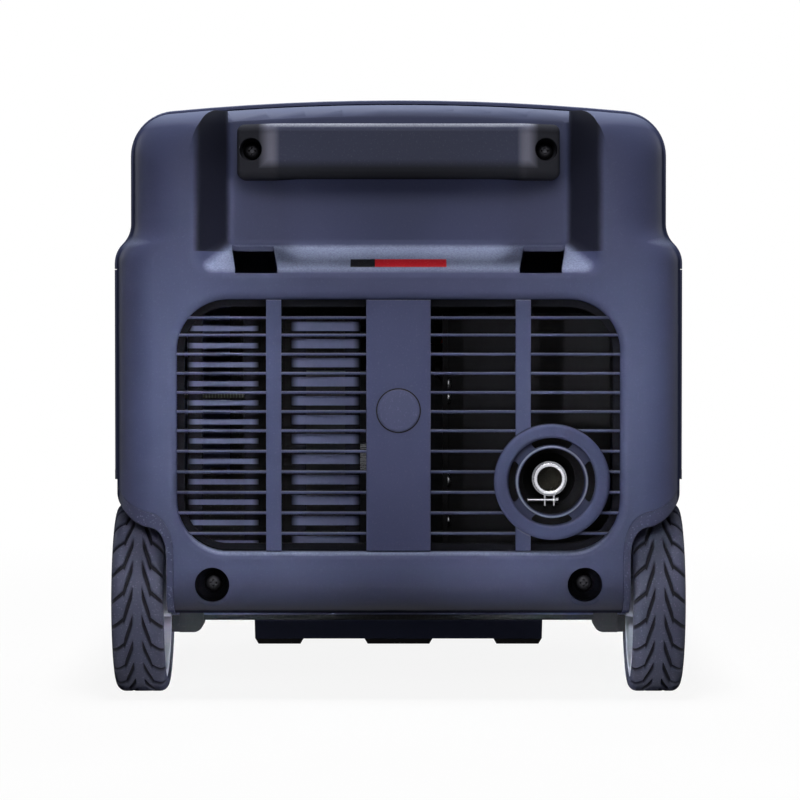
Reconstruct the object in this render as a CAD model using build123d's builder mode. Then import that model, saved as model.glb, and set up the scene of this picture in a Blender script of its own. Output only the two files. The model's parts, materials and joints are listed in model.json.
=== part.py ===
from build123d import *
import os
from math import asin, cos, degrees, radians, sin, sqrt

os.makedirs("parts", exist_ok=True)

# A portable inverter generator in a closed plastic case, with two rear wheels and a pull-out tow handle.
# Millimetres, +Z up. The exhaust end faces -Y and the control panel faces +Y.
# The origin lies on the ground under the middle of the case.

# Casing
case_length = 600.0
case_width = 450.0
shoulder_step = 13.0
case_top = 470.0
case_bottom = 62.0
wall = 3.0
shoulder_low = 341.0
shoulder_high = 372.0
crown_radius = 1900.0
top_corner = 36.0
bottom_corner = 22.0
cap_depth = 60.0
tray_top = 120.0
side_top = 336.0
parting_gap = 0.6
fit_gap = 0.3
shell_round = 1.2

# Rounded rim of the end covers: the step down from the middle of the case, the depth of the rim along the
# case, and how far each side draws in
rim_step = 4.0
rim_depth = 34.0
rim_angles = (0, 24, 48, 70, 90)
rim_low = 34.0
rim_high = 42.0
rim_top = 24.0
rim_bottom = 27.0

# Open-topped recesses in the two end covers
recess_mouth = 156.0
recess_back = 135.0
recess_depth = 50.0
recess_lip = 6.0
flare_shares = (0.0, 0.12, 0.45, 1.0)
recess_round = 8.0
recess_corner = 10.0
crown_round = 9.0
crown_break = 0.6
rear_ledge_front = 335.0
rear_ledge_back = 354.0
ledge_slot_in = 94.0
ledge_slot_out = 127.0
ledge_slot_lean = 4.5
ledge_slot_set = 4.0
ledge_slot_back = 2.0
ledge_slot_deep = 13.0
lip_notch_set = 1.0
lip_notch_deep = 3.5
front_ledge_front = 372.0
front_ledge_back = 384.0

# Lifting bar of the exhaust end
bar_half = 126.0
bar_set = 1.0
bar_low = 406.0
bar_high = 449.0
bar_thick = 21.0
bar_bevel_x = 28.0
bar_bevel_y = 19.0
bar_post = 34.0
bar_round = 6.0
bar_screw_x = 115.0
bar_screw_z = 429.0
bar_screw_bore = 9.0

# Grille opening and its louvres
opening_half = 173.0
opening_low = 116.0
opening_high = 312.5
opening_corner = 40.0
opening_lip = 6.0
collar_width = 9.0
collar_depth = 16.0
flange_thick = 3.0
grille_set = 4.0
grille_depth = 16.0
plate_half = 25.0
mullion_x = 97.0
mullion_width = 11.7
slat_thick = 2.2
slat_set = 2.0
slat_first = 298.1
slat_gap_first = 13.5
slat_gap_upper = 14.9
slat_gap_lower = 16.0
slat_upper_count = 5
slat_lower_count = 5
cap_radius = 16.5
cap_height = 226.0
cap_dome = 3.0
cap_stem = 5.0
cap_edge = 1.4
strip_outer = (-165.0, -109.0)
strip_inner = (-84.0, -30.0)
strip_deep = 3.0
strip_low = 10.4
strip_thin = 6.3
strip_tall = 3.0
post_width = 11.7
post_deep = 4.0

# Exhaust outlet
outlet_x = 119.5
outlet_z = 170.5
outlet_radius = 45.0
outlet_inner = 34.5
outlet_floor = 9.0
outlet_floor_thick = 3.0
outlet_tube = 28.0
outlet_tube_wall = 2.0
outlet_depth = 24.0
outlet_round = 3.0
outlet_slot_inset = 0.6
outlet_slot_round = 1.5
outlet_bridge = 18.0
outlet_bridge_angles = (45, 135)
pipe_radius = 12.5
pipe_wall = 1.5
pipe_set = 50.0

# Case screws in the two deep holes under the grille
corner_screw_x = 145.0
corner_screw_z = 90.5
corner_bore = 13.5
corner_bore_depth = 24.0
corner_grip = 12.0
boss_wall = 3.0
screw_shank = 3.0
screw_head = 7.0
screw_head_thick = 4.0
screw_clearance = 0.15

# Wheels
wheel_radius = 75.0
tyre_set = 1.0
tyre_width = 41.0
tyre_core = 72.2
rim_radius = 64.0
rim_wall = 6.0
rim_web = 7.0
hub_radius = 17.0
hub_draft = 1.0
axle_radius = 8.0
axle_set = 75.0
axle_fit = 0.05
tread_count = 22
groove_width = 3.4
groove_over = 1.0
groove_lead = 14.0
groove_run = 20.0
groove_sweep = 8.0
groove_knee = 12.0
rib_half = 3.2
shoulder_round = 5.0
spoke_count = 5
window_set = 1.0
window_long = 30.0
window_wide = 24.0
window_slope = 70.0
rim_inset = 2.0
hub_recess = 9.0
axle_inset = 2.0
axle_chamfer = 1.0
clip_thick = 2.0
clip_depth = 2.0
clip_reach = 4.0
pocket_radius = 104.0
pocket_gap = 8.0
pocket_corner = 21.0
arch_band = 8.0
arch_wall = 5.6

# Control panel in the front cover
panel_half = 150.0
panel_low = 122.0
panel_high = 318.0
panel_corner = 22.0
panel_set = 9.0
panel_thick = 4.0

# Rear bracket plates of the axle
bracket_gap = 1.0
bracket_wide = 19.0
bracket_low = 48.0
bracket_high = 100.0
bracket_length = 30.0
bracket_tail = 30.0
bracket_plate = 4.0
bracket_round = 8.0

# Front foot
foot_half = 130.0
foot_set = 118.0
foot_length = 66.0
foot_draft = 1.5
foot_cells = 3
foot_spans = ((-130.0, -86.0), (-31.0, 31.0), (86.0, 130.0))
pad_height = 5.0
pad_draft = 3.0
pad_set = 3.0
post_radius = 9.0
post_web = 4.5

# Side panels
field_edge = 18.0
field_corner = 26.0
field_depth = 1.2
louvre_y = 60.0
louvre_z = 222.0
louvre_long = 100.0
louvre_wide = 6.0
louvre_pitch = 14.0
louvre_count = 9

# Tow handle
tow_x = 120.0
tow_z = 415.0
tow_tube = 9.0
guide_bore = 9.3
guide_radius = 11.0
guide_length = 400.0
hanger_bite = 1.5
tow_bend = 24.0
tow_bar_set = 16.0
grip_half = 86.0
grip_width = 27.0
grip_low = 399.0
grip_high = 440.0
release_long = 42.0
release_wide = 15.0
release_pocket = 14.0
release_travel = 4.0
release_proud = 2.0

# Fuel tank, its filler neck and cap
tank_half_x = 104.0
tank_half_y = 155.0
tank_low = 336.0
tank_round = 16.0
filler_y = 35.0
well_radius = 52.0
well_depth = 30.0
neck_radius = 24.0
neck_height = 14.0
neck_wall = 2.5
cap_skirt = 39.0
fuel_cap_height = 23.0
fuel_cap_lift = 1.2
fuel_cap_round = 5.0
cap_flute = 3.0
cap_flutes = 18
knob_radius = 12.0
knob_hub = 8.4
knob_wide = 6.0
knob_height = 5.0
knob_stem = 5.0

# Engine and alternator on one crankshaft along Y
crank_x = -30.0
crank_z = 180.0
crank_radius = 12.5
crank_chamfer = 0.9
case_long = 140.0
case_half = 67.0
case_low = 100.0
case_high = 250.0
cylinder_set = 70.0
cylinder_tilt = 25.0
barrel_start = 60.0
head_start = 130.0
head_height = 35.0
rocker_height = 30.0
head_half = 40.0
fin_half = 45.0
fin_count = 6
fin_thick = 3.0
head_fins = 4
head_groove = 10.0
rocker_inset = 8.0
case_round = 12.0
plug_steps = ((10.0, 4.0), (7.0, 10.0), (5.0, 18.0), (9.0, 26.0))
carb_half = 20.0
bowl_radius = 18.0
bowl_drop = 24.0
mount_height = 26.0
mount_radius = 14.0
mount_foot = 19.6
mount_x = 48.0
mount_y = 52.0
stator_hub = 55.0
stator_radius = 82.0
stator_teeth = 12
stator_bore = 6.0
tooth_width = 18.0
blade_rake = 20.0
rotor_inner = 84.0
rotor_radius = 95.0
rotor_holes = 6
rotor_gap = 6.0
rotor_long = 44.0
fan_long = 24.0
fan_blades = 14
shroud_radius = 104.0
shroud_wall = 3.0
shroud_gap = 11.0
recoil_radius = 70.0
recoil_slots = 12
recoil_deep = 40.0
recoil_gap = 8.0
reel_radius = 45.0
reel_flange = 50.0
reel_gap = 7.0
reel_long = 18.0
reel_post = 8.0
reel_rim = 4.0
rope_radius = 2.5
rope_clear = 1.0

# Exhaust box
muffler_x0 = 50.0
muffler_x1 = 165.0
muffler_z0 = 120.0
muffler_z1 = 290.0
muffler_set = 75.0
muffler_length = 85.0
header_radius = 14.0
shield_gap = 11.0
shield_thick = 1.5
shield_hole = 20.8
shield_flange = 12.0
flange_wide = 4.0
screen_set = 5.0
screen_wall = 1.0
screen_length = 20.0
clamp_set = 2.5
clamp_wide = 6.0
clamp_thick = 1.2
clamp_gap = 3.0
clamp_ear = 9.0
screw_left = 17.0
screw_right = 7.0

# Other inner pieces
floor_thick = 4.0
battery_set = 25.0
battery_wide = 87.0
battery_y0 = -110.0
battery_y1 = 40.0
battery_high = 160.0
inverter_half = 118.0
inverter_set = 70.0
inverter_deep = 47.0
inverter_high = 272.0
filter_x0 = 82.0
filter_set = 19.0
filter_gap = 3.0
filter_z0 = 190.0
filter_z1 = 328.0
carb_length = 60.0
filter_slots = 7
filter_slot_depth = 12.0
inverter_fins = 16
inverter_groove = 18.0

# Recoil grip in the left side
grip_cup_long = 92.0
grip_cup_wide = 38.0
grip_cup_depth = 18.0
grip_gap = 5.0

# Controls on the panel
control_row = 268.0
socket_row = 178.0
socket_x = 45.0
socket_bore = 19.75
socket_depth = 17.0
socket_wall = 3.5
socket_flange = 27.0
flange_proud = 3.0
pin_spacing = 9.5
pin_radius = 2.6
dc_x = -108.0
dc_bore = 10.5
switch_x = 105.0
switch_radius = 21.0
switch_bar = 10.0
switch_rise = 4.7
start_x = 52.0
start_radius = 11.0
start_travel = 3.0
breaker_x = -52.0
breaker_radius = 7.0
breaker_travel = 2.5
button_rest = 3.0
button_round = 1.0
button_flange = 2.0
rocker_radius = 12.0
rocker_half = 7.0
lens_x = -108.0
lens_radius = 4.5
lens_spacing = 16.0
stud_radius = 3.0
nut_radius = 7.0
nut_sides = 6
nut_high = 4.5

half_length = case_length / 2
half_width = case_width / 2
joint_y = half_length - cap_depth
crown_z = case_top - crown_radius
recess_back_y = half_length - recess_depth
tyre_out = half_width - tyre_set
tyre_in = tyre_out - tyre_width
tyre_mid = tyre_out - tyre_width / 2
pocket_in = tyre_in - pocket_gap
axle_y = axle_set - half_length
axle_z = wheel_radius
bracket_in = pocket_in - bracket_gap - bracket_wide
foot_y = half_length - foot_set
guide_back = recess_back_y - guide_length
tow_bar_y = half_length - tow_bar_set
muffler_back = muffler_set - half_length
muffler_front = muffler_back + muffler_length
pipe_end = half_length - pipe_set
battery_x0 = battery_set - half_width
battery_x1 = battery_x0 + battery_wide
filter_x1 = half_width - filter_set
inverter_y1 = half_length - inverter_set
inverter_y0 = inverter_y1 - inverter_deep
filter_y1 = inverter_y0 - filter_gap
recoil_front = inverter_y0 - recoil_gap
shroud_front = recoil_front - recoil_deep
reel_back = shroud_front + reel_gap
reel_front = reel_back + reel_long
recoil_y = (reel_back + reel_front) / 2
recoil_z = crank_z + reel_radius
fan_front = shroud_front - shroud_gap
rotor_front = fan_front - fan_long
rotor_back = rotor_front - rotor_long
case_front = rotor_back - rotor_gap
case_back = case_front - case_long
cylinder_y = case_front - cylinder_set
opening_mid = (opening_low + opening_high) / 2
opening_height = opening_high - opening_low
collar_back = half_length - collar_depth


def slab(x0, x1, y0, y1, z0, z1, mode=Mode.ADD):
    with Locations(((x0 + x1) / 2, (y0 + y1) / 2, (z0 + z1) / 2)):
        Box(x1 - x0, y1 - y0, z1 - z0, mode=mode)


def rod_x(y, z, radius, x0, x1, mode=Mode.ADD):
    with Locations(Location(((x0 + x1) / 2, y, z), (0, 90, 0))):
        Cylinder(radius, x1 - x0, mode=mode)


def rod_y(x, z, radius, y0, y1, mode=Mode.ADD):
    with Locations(Location((x, (y0 + y1) / 2, z), (90, 0, 0))):
        Cylinder(radius, y1 - y0, mode=mode)


def rod_z(x, y, radius, z0, z1, mode=Mode.ADD):
    with Locations((x, y, (z0 + z1) / 2)):
        Cylinder(radius, z1 - z0, mode=mode)


def at_y(y):
    return Plane.XZ.offset(-y)


def crown_at(x):
    return crown_z + sqrt(crown_radius**2 - x**2)


def save(piece, name):
    piece.part.label = name
    export_step(piece.part, f"parts/{name}.step")


# Cross-section of the case: straight lower sides, an S-shaped shoulder and a crowned top
def casing_outline(y, low_in, high_in, top_in, bottom_in, corner_in=0.0):
    low = half_width - low_in
    high = half_width - shoulder_step - high_in
    floor = case_bottom + bottom_in
    corner = top_corner - corner_in
    foot = bottom_corner - corner_in
    crown = crown_radius - top_in
    centre_x = high - corner
    centre_z = crown_z + sqrt((crown - corner) ** 2 - centre_x**2)
    touch_x = centre_x * crown / (crown - corner)
    touch_z = crown_z + (centre_z - crown_z) * crown / (crown - corner)
    waist_x = (low + high) / 2
    waist_z = (shoulder_low + shoulder_high) / 2
    with BuildSketch(at_y(y)) as outline:
        with BuildLine():
            Line((-low + foot, floor), (low - foot, floor))
            for side in (1, -1):
                TangentArc((side * (low - foot), floor), (side * low, floor + foot), tangent=(side, 0))
                Line((side * low, floor + foot), (side * low, shoulder_low))
                TangentArc((side * low, shoulder_low), (side * waist_x, waist_z), tangent=(0, 1))
                TangentArc((side * high, shoulder_high), (side * waist_x, waist_z), tangent=(0, -1))
                Line((side * high, shoulder_high), (side * high, centre_z))
                TangentArc((side * high, centre_z), (side * touch_x, touch_z), tangent=(0, 1))
            ThreePointArc((-touch_x, touch_z), (0, case_top - top_in), (touch_x, touch_z))
        make_face()
    return outline.sketch


# End of the case facing -Y, with a rounded rim, drawn in by one wall thickness for the hollow
def end_cap(inset, start):
    straight = half_length - rim_depth
    base = inset + rim_step
    sections = []
    for angle in rim_angles:
        draw = 1 - cos(radians(angle))
        reach = straight + (rim_depth - inset) * sin(radians(angle))
        sections.append(
            casing_outline(
                -reach,
                base + (rim_low - base) * draw,
                base + (rim_high - base) * draw,
                base + (rim_top - base) * draw,
                base + (rim_bottom - base) * draw,
                inset + rim_step * (1 - draw),
            )
        )
    with BuildPart() as cap:
        extrude(casing_outline(-start, base, base, base, base, base), amount=straight - start)
        loft(sections=sections)
    return cap.part


# Section of an end recess at a depth behind the face of a cover that faces -Y
def recess_section(depth, ledge_front, ledge_back, spread):
    share = depth / recess_depth
    half = recess_mouth + (recess_back - recess_mouth) * share + spread
    ledge = ledge_front + (ledge_back - ledge_front) * share - spread
    roof = case_top + recess_depth
    with BuildSketch(at_y(depth - half_length)) as section:
        with Locations((0, (ledge + roof) / 2)):
            Rectangle(2 * half, roof - ledge)
        fillet(section.vertices().group_by(Axis.Y)[0], recess_corner + spread)
    return section.sketch


# Drafted body of an end recess, open at the top, with rounded inner edges
def recess_core(ledge_front, ledge_back, grow):
    with BuildPart() as core:
        mouth = recess_section(0, ledge_front, ledge_back, grow)
        back = recess_section(recess_depth + grow, ledge_front, ledge_back, grow)
        loft(sections=[mouth, back], ruled=True)
        inner_edges = core.faces().sort_by(Axis.Y)[-1].edges().sort_by(Axis.Z)[:-1]
        fillet(inner_edges, recess_round)
    return core.part


# Flared mouth of an end recess
def recess_flare(ledge_front, ledge_back):
    sections = []
    for share in flare_shares:
        depth = recess_lip * share
        flare = recess_lip - sqrt(recess_lip**2 - (recess_lip - depth) ** 2)
        sections.append(recess_section(depth, ledge_front, ledge_back, flare))
    with BuildPart() as mouth:
        loft(sections=sections)
    return mouth.part


# Waste above the rounded edge between the back of an end recess and the crown
def recess_crown(grow):
    back_y = grow - recess_back_y
    crown = crown_radius - rim_step - grow
    bend = crown_round - grow
    spread = asin(recess_back / crown)
    with BuildPart() as waste:
        plane = Plane(origin=(0, 0, crown_z), x_dir=(0, 1, 0), z_dir=(cos(spread), 0, sin(spread)))
        with BuildSketch(plane):
            with BuildLine():
                Polyline(
                    (back_y, crown - bend),
                    (back_y - crown_round, crown - bend),
                    (back_y - crown_round, crown + crown_round),
                    (back_y + bend, crown + crown_round),
                    (back_y + bend, crown + crown_break),
                )
                TangentArc((back_y, crown - bend), (back_y + bend, crown + crown_break), tangent=(0, 1))
            make_face()
        revolve(axis=Axis((0, 0, crown_z), (0, 1, 0)), revolution_arc=2 * degrees(spread))
    return waste.part


# Hollow end cover that faces -Y, with its recess
def end_cover(ledge_front, ledge_back):
    with BuildPart() as hollow:
        add(end_cap(wall, joint_y - wall))
        add(recess_core(ledge_front, ledge_back, wall), mode=Mode.SUBTRACT)
        add(recess_crown(wall), mode=Mode.SUBTRACT)
    with BuildPart() as cover:
        add(end_cap(0, joint_y))
        add(recess_core(ledge_front, ledge_back, 0), mode=Mode.SUBTRACT)
        add(recess_flare(ledge_front, ledge_back), mode=Mode.SUBTRACT)
        add(hollow.part, mode=Mode.SUBTRACT)
        add(recess_crown(0), mode=Mode.SUBTRACT)
    return cover.part


# Space of both rear wheels, turned about the axle
def wheel_pockets(radius, inner, corner):
    outer = half_width + wheel_radius
    edge = axle_y + radius
    with BuildPart() as pocket:
        with BuildSketch(Plane.XY.offset(axle_z)):
            with BuildLine():
                Line((inner, axle_y), (outer, axle_y))
                Line((outer, axle_y), (outer, edge))
                Line((outer, edge), (inner + corner, edge))
                TangentArc((inner + corner, edge), (inner, edge - corner), tangent=(-1, 0))
                Line((inner, edge - corner), (inner, axle_y))
            make_face()
        revolve(axis=Axis((0, axle_y, axle_z), (1, 0, 0)))
        mirror(about=Plane.YZ)
    return pocket.part


wheel_space = wheel_pockets(pocket_radius, pocket_in, pocket_corner)

# Rear cover with the grille opening, the deep screw holes and two slots through the ledge of the recess
with BuildPart() as rear_cover:
    add(end_cover(rear_ledge_front, rear_ledge_back))
    with BuildSketch(at_y(-half_length + wall)):
        with Locations((0, opening_mid)):
            RectangleRounded(
                2 * (opening_half + collar_width),
                opening_height + 2 * collar_width,
                opening_corner + collar_width,
            )
    extrude(amount=-(collar_depth - wall))
    with BuildSketch(at_y(-half_length)):
        with Locations((0, opening_mid)):
            RectangleRounded(2 * opening_half, opening_height, opening_corner)
    extrude(amount=-collar_depth, mode=Mode.SUBTRACT)
    face = rear_cover.faces().filter_by(Axis.Y).sort_by(Axis.Y)[0]
    fillet(face.inner_wires()[0].edges(), opening_lip)
    for side in (1, -1):
        rod_y(
            side * corner_screw_x,
            corner_screw_z,
            corner_bore + boss_wall,
            -half_length + wall,
            -half_length + corner_bore_depth + boss_wall,
        )
    for side in (1, -1):
        x = side * corner_screw_x
        floor_y = -half_length + corner_bore_depth
        rod_y(x, corner_screw_z, corner_bore, -half_length, floor_y, Mode.SUBTRACT)
        rod_y(x, corner_screw_z, screw_shank + screw_clearance, floor_y, floor_y + boss_wall, Mode.SUBTRACT)
    for side in (1, -1):
        rod_y(
            side * bar_screw_x,
            bar_screw_z,
            screw_shank + screw_clearance,
            -recess_back_y - recess_round,
            -recess_back_y + 2 * wall,
            Mode.SUBTRACT,
        )
    slot_front = -half_length + ledge_slot_set
    slot_back = -recess_back_y - ledge_slot_back
    notch_front = -half_length + lip_notch_set
    for side in (1, -1):
        with BuildSketch(Plane.XY.offset(rear_ledge_front - ledge_slot_deep)):
            with BuildLine():
                Polyline(
                    (side * ledge_slot_in, slot_front),
                    (side * ledge_slot_out, slot_front),
                    (side * (ledge_slot_out + ledge_slot_lean), slot_back),
                    (side * (ledge_slot_in + ledge_slot_lean), slot_back),
                    close=True,
                )
            make_face()
        extrude(amount=bar_low - rear_ledge_front + ledge_slot_deep, mode=Mode.SUBTRACT)
        notch_in = min(side * ledge_slot_in, side * ledge_slot_out)
        notch_out = max(side * ledge_slot_in, side * ledge_slot_out)
        notch_floor = rear_ledge_front - lip_notch_deep
        slab(notch_in, notch_out, notch_front, slot_front, notch_floor, bar_low, Mode.SUBTRACT)
    add(wheel_space, mode=Mode.SUBTRACT)
save(rear_cover, "rear_cover")

# Lifting bar in the rear recess, seen from above: a straight grip with bevelled ends and two posts
with BuildPart() as rear_handle:
    front_y = -half_length + bar_set
    post_y = -recess_back_y - fit_gap
    with BuildSketch(Plane.XY.offset(bar_low)):
        with BuildLine():
            Polyline(
                (-bar_half, post_y),
                (-bar_half, front_y + bar_bevel_y),
                (-bar_half + bar_bevel_x, front_y),
                (bar_half - bar_bevel_x, front_y),
                (bar_half, front_y + bar_bevel_y),
                (bar_half, post_y),
                (bar_half - bar_post, post_y),
                (bar_half - bar_post - bar_bevel_y, front_y + bar_thick),
                (-bar_half + bar_post + bar_bevel_y, front_y + bar_thick),
                (-bar_half + bar_post, post_y),
                close=True,
            )
        make_face()
    extrude(amount=bar_high - bar_low)
    seat = rear_handle.faces().filter_by(Axis.Y).sort_by(Axis.Y)[-1].edges()
    seat_other = rear_handle.faces().filter_by(Axis.Y).sort_by(Axis.Y)[-2].edges()
    soft = rear_handle.edges().filter_by(lambda e: e not in seat and e not in seat_other)
    fillet(soft, bar_round)
    for side in (1, -1):
        x = side * bar_screw_x
        floor_y = post_y - recess_round
        rod_y(x, bar_screw_z, bar_screw_bore, front_y, floor_y, Mode.SUBTRACT)
        rod_y(x, bar_screw_z, screw_shank + screw_clearance, floor_y, post_y, Mode.SUBTRACT)
save(rear_handle, "rear_handle")

# Louvred grille behind the opening: a flange, a centre plate, two mullions and thin slats
grille_front = -half_length + grille_set
slat_heights = [slat_first, slat_first - slat_gap_first]
for gap in [slat_gap_upper] * slat_upper_count + [slat_gap_lower] * slat_lower_count:
    slat_heights.append(slat_heights[-1] - gap)
with BuildPart() as rear_grille:
    for height in slat_heights:
        slab(
            -opening_half,
            opening_half,
            grille_front + slat_set,
            grille_front + grille_depth,
            height - slat_thick / 2,
            height + slat_thick / 2,
        )
    slab(-plate_half, plate_half, grille_front, grille_front + grille_depth, opening_low, opening_high)
    for side in (1, -1):
        inner_x = side * mullion_x - mullion_width / 2
        slab(
            inner_x,
            inner_x + mullion_width,
            grille_front,
            grille_front + grille_depth,
            opening_low,
            opening_high,
        )
    with BuildSketch(at_y(grille_front)):
        with Locations((0, opening_mid)):
            RectangleRounded(
                2 * (opening_half - fit_gap), opening_height - 2 * fit_gap, opening_corner - fit_gap
            )
    extrude(amount=-grille_depth, mode=Mode.INTERSECT)
    with BuildSketch(at_y(-collar_back)):
        with Locations((0, opening_mid)):
            RectangleRounded(
                2 * (opening_half + collar_width),
                opening_height + 2 * collar_width,
                opening_corner + collar_width,
            )
            RectangleRounded(
                2 * (opening_half - opening_lip),
                opening_height - 2 * opening_lip,
                opening_corner - opening_lip,
                mode=Mode.SUBTRACT,
            )
    extrude(amount=-flange_thick)
    grille_back = -collar_back + grille_depth
    rod_y(outlet_x, outlet_z, outlet_radius + fit_gap, -half_length, grille_back, Mode.SUBTRACT)
    add(wheel_space, mode=Mode.SUBTRACT)
    rod_y(0, cap_height, cap_stem + screw_clearance, grille_front, grille_front + grille_depth, Mode.SUBTRACT)
save(rear_grille, "rear_grille")

# Strips behind the left half of the grille, thin in the outer bay and tall in the inner bay, on posts behind
# them; the middle post reaches forward to the mullion
with BuildPart() as grille_baffle:
    strip_front = grille_front + grille_depth + fit_gap
    strip_back = strip_front + strip_deep
    post_foot = slat_heights[-1] - strip_low
    for height in slat_heights:
        slab(*strip_outer, strip_front, strip_back, height - strip_low, height - strip_thin)
        slab(*strip_inner, strip_front, strip_back, height - strip_low, height - strip_tall)
    for x0, x1 in (
        (strip_outer[0], strip_outer[0] + post_width),
        (strip_outer[1] - post_width, strip_inner[0] + post_width),
        (strip_inner[1] - post_width, strip_inner[1]),
    ):
        slab(x0, x1, strip_back, strip_back + post_deep, post_foot, slat_first)
    half_mullion = mullion_width / 2
    slab(-mullion_x - half_mullion, -mullion_x + half_mullion, strip_front, strip_back, post_foot, slat_first)
save(grille_baffle, "grille_baffle")

# Round blanking cap on the centre plate
with BuildPart() as grille_cap:
    with BuildSketch(Plane.XY.offset(cap_height)):
        with BuildLine():
            Polyline(
                (0, grille_front + grille_depth),
                (cap_stem, grille_front + grille_depth),
                (cap_stem, grille_front),
                (cap_radius, grille_front),
                (cap_radius, grille_front - cap_edge),
            )
            TangentArc((0, grille_front - cap_dome), (cap_radius, grille_front - cap_edge), tangent=(1, 0))
            Line((0, grille_front - cap_dome), (0, grille_front + grille_depth))
        make_face()
    revolve(axis=Axis((0, 0, cap_height), (0, 1, 0)))
save(grille_cap, "grille_cap")

# Exhaust outlet ring with four arc slots round a short tube
with BuildPart() as exhaust_ring:
    with BuildSketch(Plane.XY.offset(outlet_z)):
        with BuildLine():
            Polyline(
                (outlet_x + outlet_radius, -half_length),
                (outlet_x + outlet_radius, -half_length + grille_set + grille_depth),
                (outlet_x + outlet_inner, -half_length + grille_set + grille_depth),
                (outlet_x + outlet_inner, -half_length + outlet_floor + outlet_floor_thick),
                (outlet_x + outlet_tube, -half_length + outlet_floor + outlet_floor_thick),
                (outlet_x + outlet_tube, -half_length + outlet_depth),
                (outlet_x + outlet_tube - outlet_tube_wall, -half_length + outlet_depth),
                (outlet_x + outlet_tube - outlet_tube_wall, -half_length + outlet_floor - outlet_floor_thick),
                (outlet_x + outlet_tube, -half_length + outlet_floor - outlet_floor_thick),
                (outlet_x + outlet_tube, -half_length + outlet_floor),
                (outlet_x + outlet_inner, -half_length + outlet_floor),
                (outlet_x + outlet_inner, -half_length),
                close=True,
            )
        make_face()
    revolve(axis=Axis((outlet_x, 0, outlet_z), (0, 1, 0)))
    front_edges = exhaust_ring.faces().filter_by(Axis.Y).sort_by(Axis.Y)[0].edges()
    fillet(front_edges, outlet_round)
    with BuildSketch(at_y(-half_length)) as outlet_slots:
        with Locations((outlet_x, outlet_z)):
            Circle(outlet_inner - outlet_slot_inset)
            Circle(outlet_tube + outlet_slot_inset, mode=Mode.SUBTRACT)
            for angle in outlet_bridge_angles:
                Rectangle(2 * outlet_radius, outlet_bridge, rotation=angle, mode=Mode.SUBTRACT)
        fillet(outlet_slots.vertices(), outlet_slot_round)
    extrude(amount=-outlet_depth, mode=Mode.SUBTRACT)
save(exhaust_ring, "exhaust_ring")


# Pan-head screw along Y with a cross recess, its head facing -Y
def case_screw(x, z, head_back, reach):
    rod_y(x, z, screw_shank, head_back, head_back + reach)
    with Locations(Location((x, head_back - screw_head_thick / 2, z), (90, 0, 0))):
        Cylinder(screw_head, screw_head_thick)
    for angle in (45, -45):
        with Locations(Location((x, head_back - screw_head_thick, z), (0, angle, 0))):
            Box(screw_head, screw_head_thick, screw_shank / 2, mode=Mode.SUBTRACT)


with BuildPart() as case_screws:
    for side in (1, -1):
        corner_seat = -half_length + corner_bore_depth
        case_screw(side * corner_screw_x, corner_screw_z, corner_seat, boss_wall + corner_grip)
        bar_seat = -recess_back_y - fit_gap - recess_round
        case_screw(side * bar_screw_x, bar_screw_z, bar_seat, recess_round + 2 * wall)
save(case_screws, "case_screws")


# Outside of the case behind the front edge of the wheel pockets
def case_body():
    with BuildPart() as body:
        add(end_cap(0, joint_y))
        extrude(casing_outline(-joint_y, 0, 0, 0, 0), amount=-(joint_y + axle_y + pocket_radius))
    return body.part


# Liners of the two wheel arches
with BuildPart() as wheel_arches:
    add(wheel_pockets(pocket_radius - fit_gap, pocket_in + fit_gap, pocket_corner - fit_gap))
    add(
        wheel_pockets(pocket_radius - arch_band, pocket_in + arch_wall, pocket_corner - arch_band),
        mode=Mode.SUBTRACT,
    )
    rod_x(axle_y, axle_z, axle_radius + 2 * fit_gap, -half_width, half_width, Mode.SUBTRACT)
    add(case_body(), mode=Mode.INTERSECT)
save(wheel_arches, "wheel_arches")


# One wheel at +X: a dished rim with five windows, and a tyre with bent tread grooves
hub_in = pocket_in + arch_wall + 2 * fit_gap
hub_out = tyre_out - hub_recess


def wheel_rim():
    with BuildPart() as rim:
        with BuildSketch(Plane.XY.offset(axle_z)):
            with BuildLine():
                Polyline(
                    (hub_in, axle_y + axle_radius + axle_fit),
                    (hub_out, axle_y + axle_radius + axle_fit),
                    (hub_out, axle_y + hub_radius - hub_draft),
                    (tyre_mid + rim_web, axle_y + hub_radius),
                    (tyre_mid + rim_web / 2, axle_y + rim_radius - 2 * rim_wall),
                    (tyre_out - rim_inset, axle_y + rim_radius - rim_wall),
                    (tyre_out - rim_inset, axle_y + rim_radius),
                    (tyre_in + rim_inset, axle_y + rim_radius),
                    (tyre_in + rim_inset, axle_y + rim_radius - rim_wall),
                    (tyre_mid - rim_web / 2, axle_y + rim_radius - 2 * rim_wall),
                    (tyre_mid - rim_web, axle_y + hub_radius),
                    (hub_in, axle_y + hub_radius - hub_draft),
                    close=True,
                )
            make_face()
        revolve(axis=Axis((0, axle_y, axle_z), (1, 0, 0)))
        with BuildSketch(Plane(origin=(tyre_in, axle_y, axle_z), x_dir=(0, 1, 0), z_dir=(1, 0, 0))):
            with PolarLocations((hub_radius + rim_radius - 2 * rim_wall) / 2 + window_set, spoke_count):
                Trapezoid(window_long, window_wide, window_slope, rotation=-90)
        extrude(amount=tyre_width, mode=Mode.SUBTRACT)
    return rim.part


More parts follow.
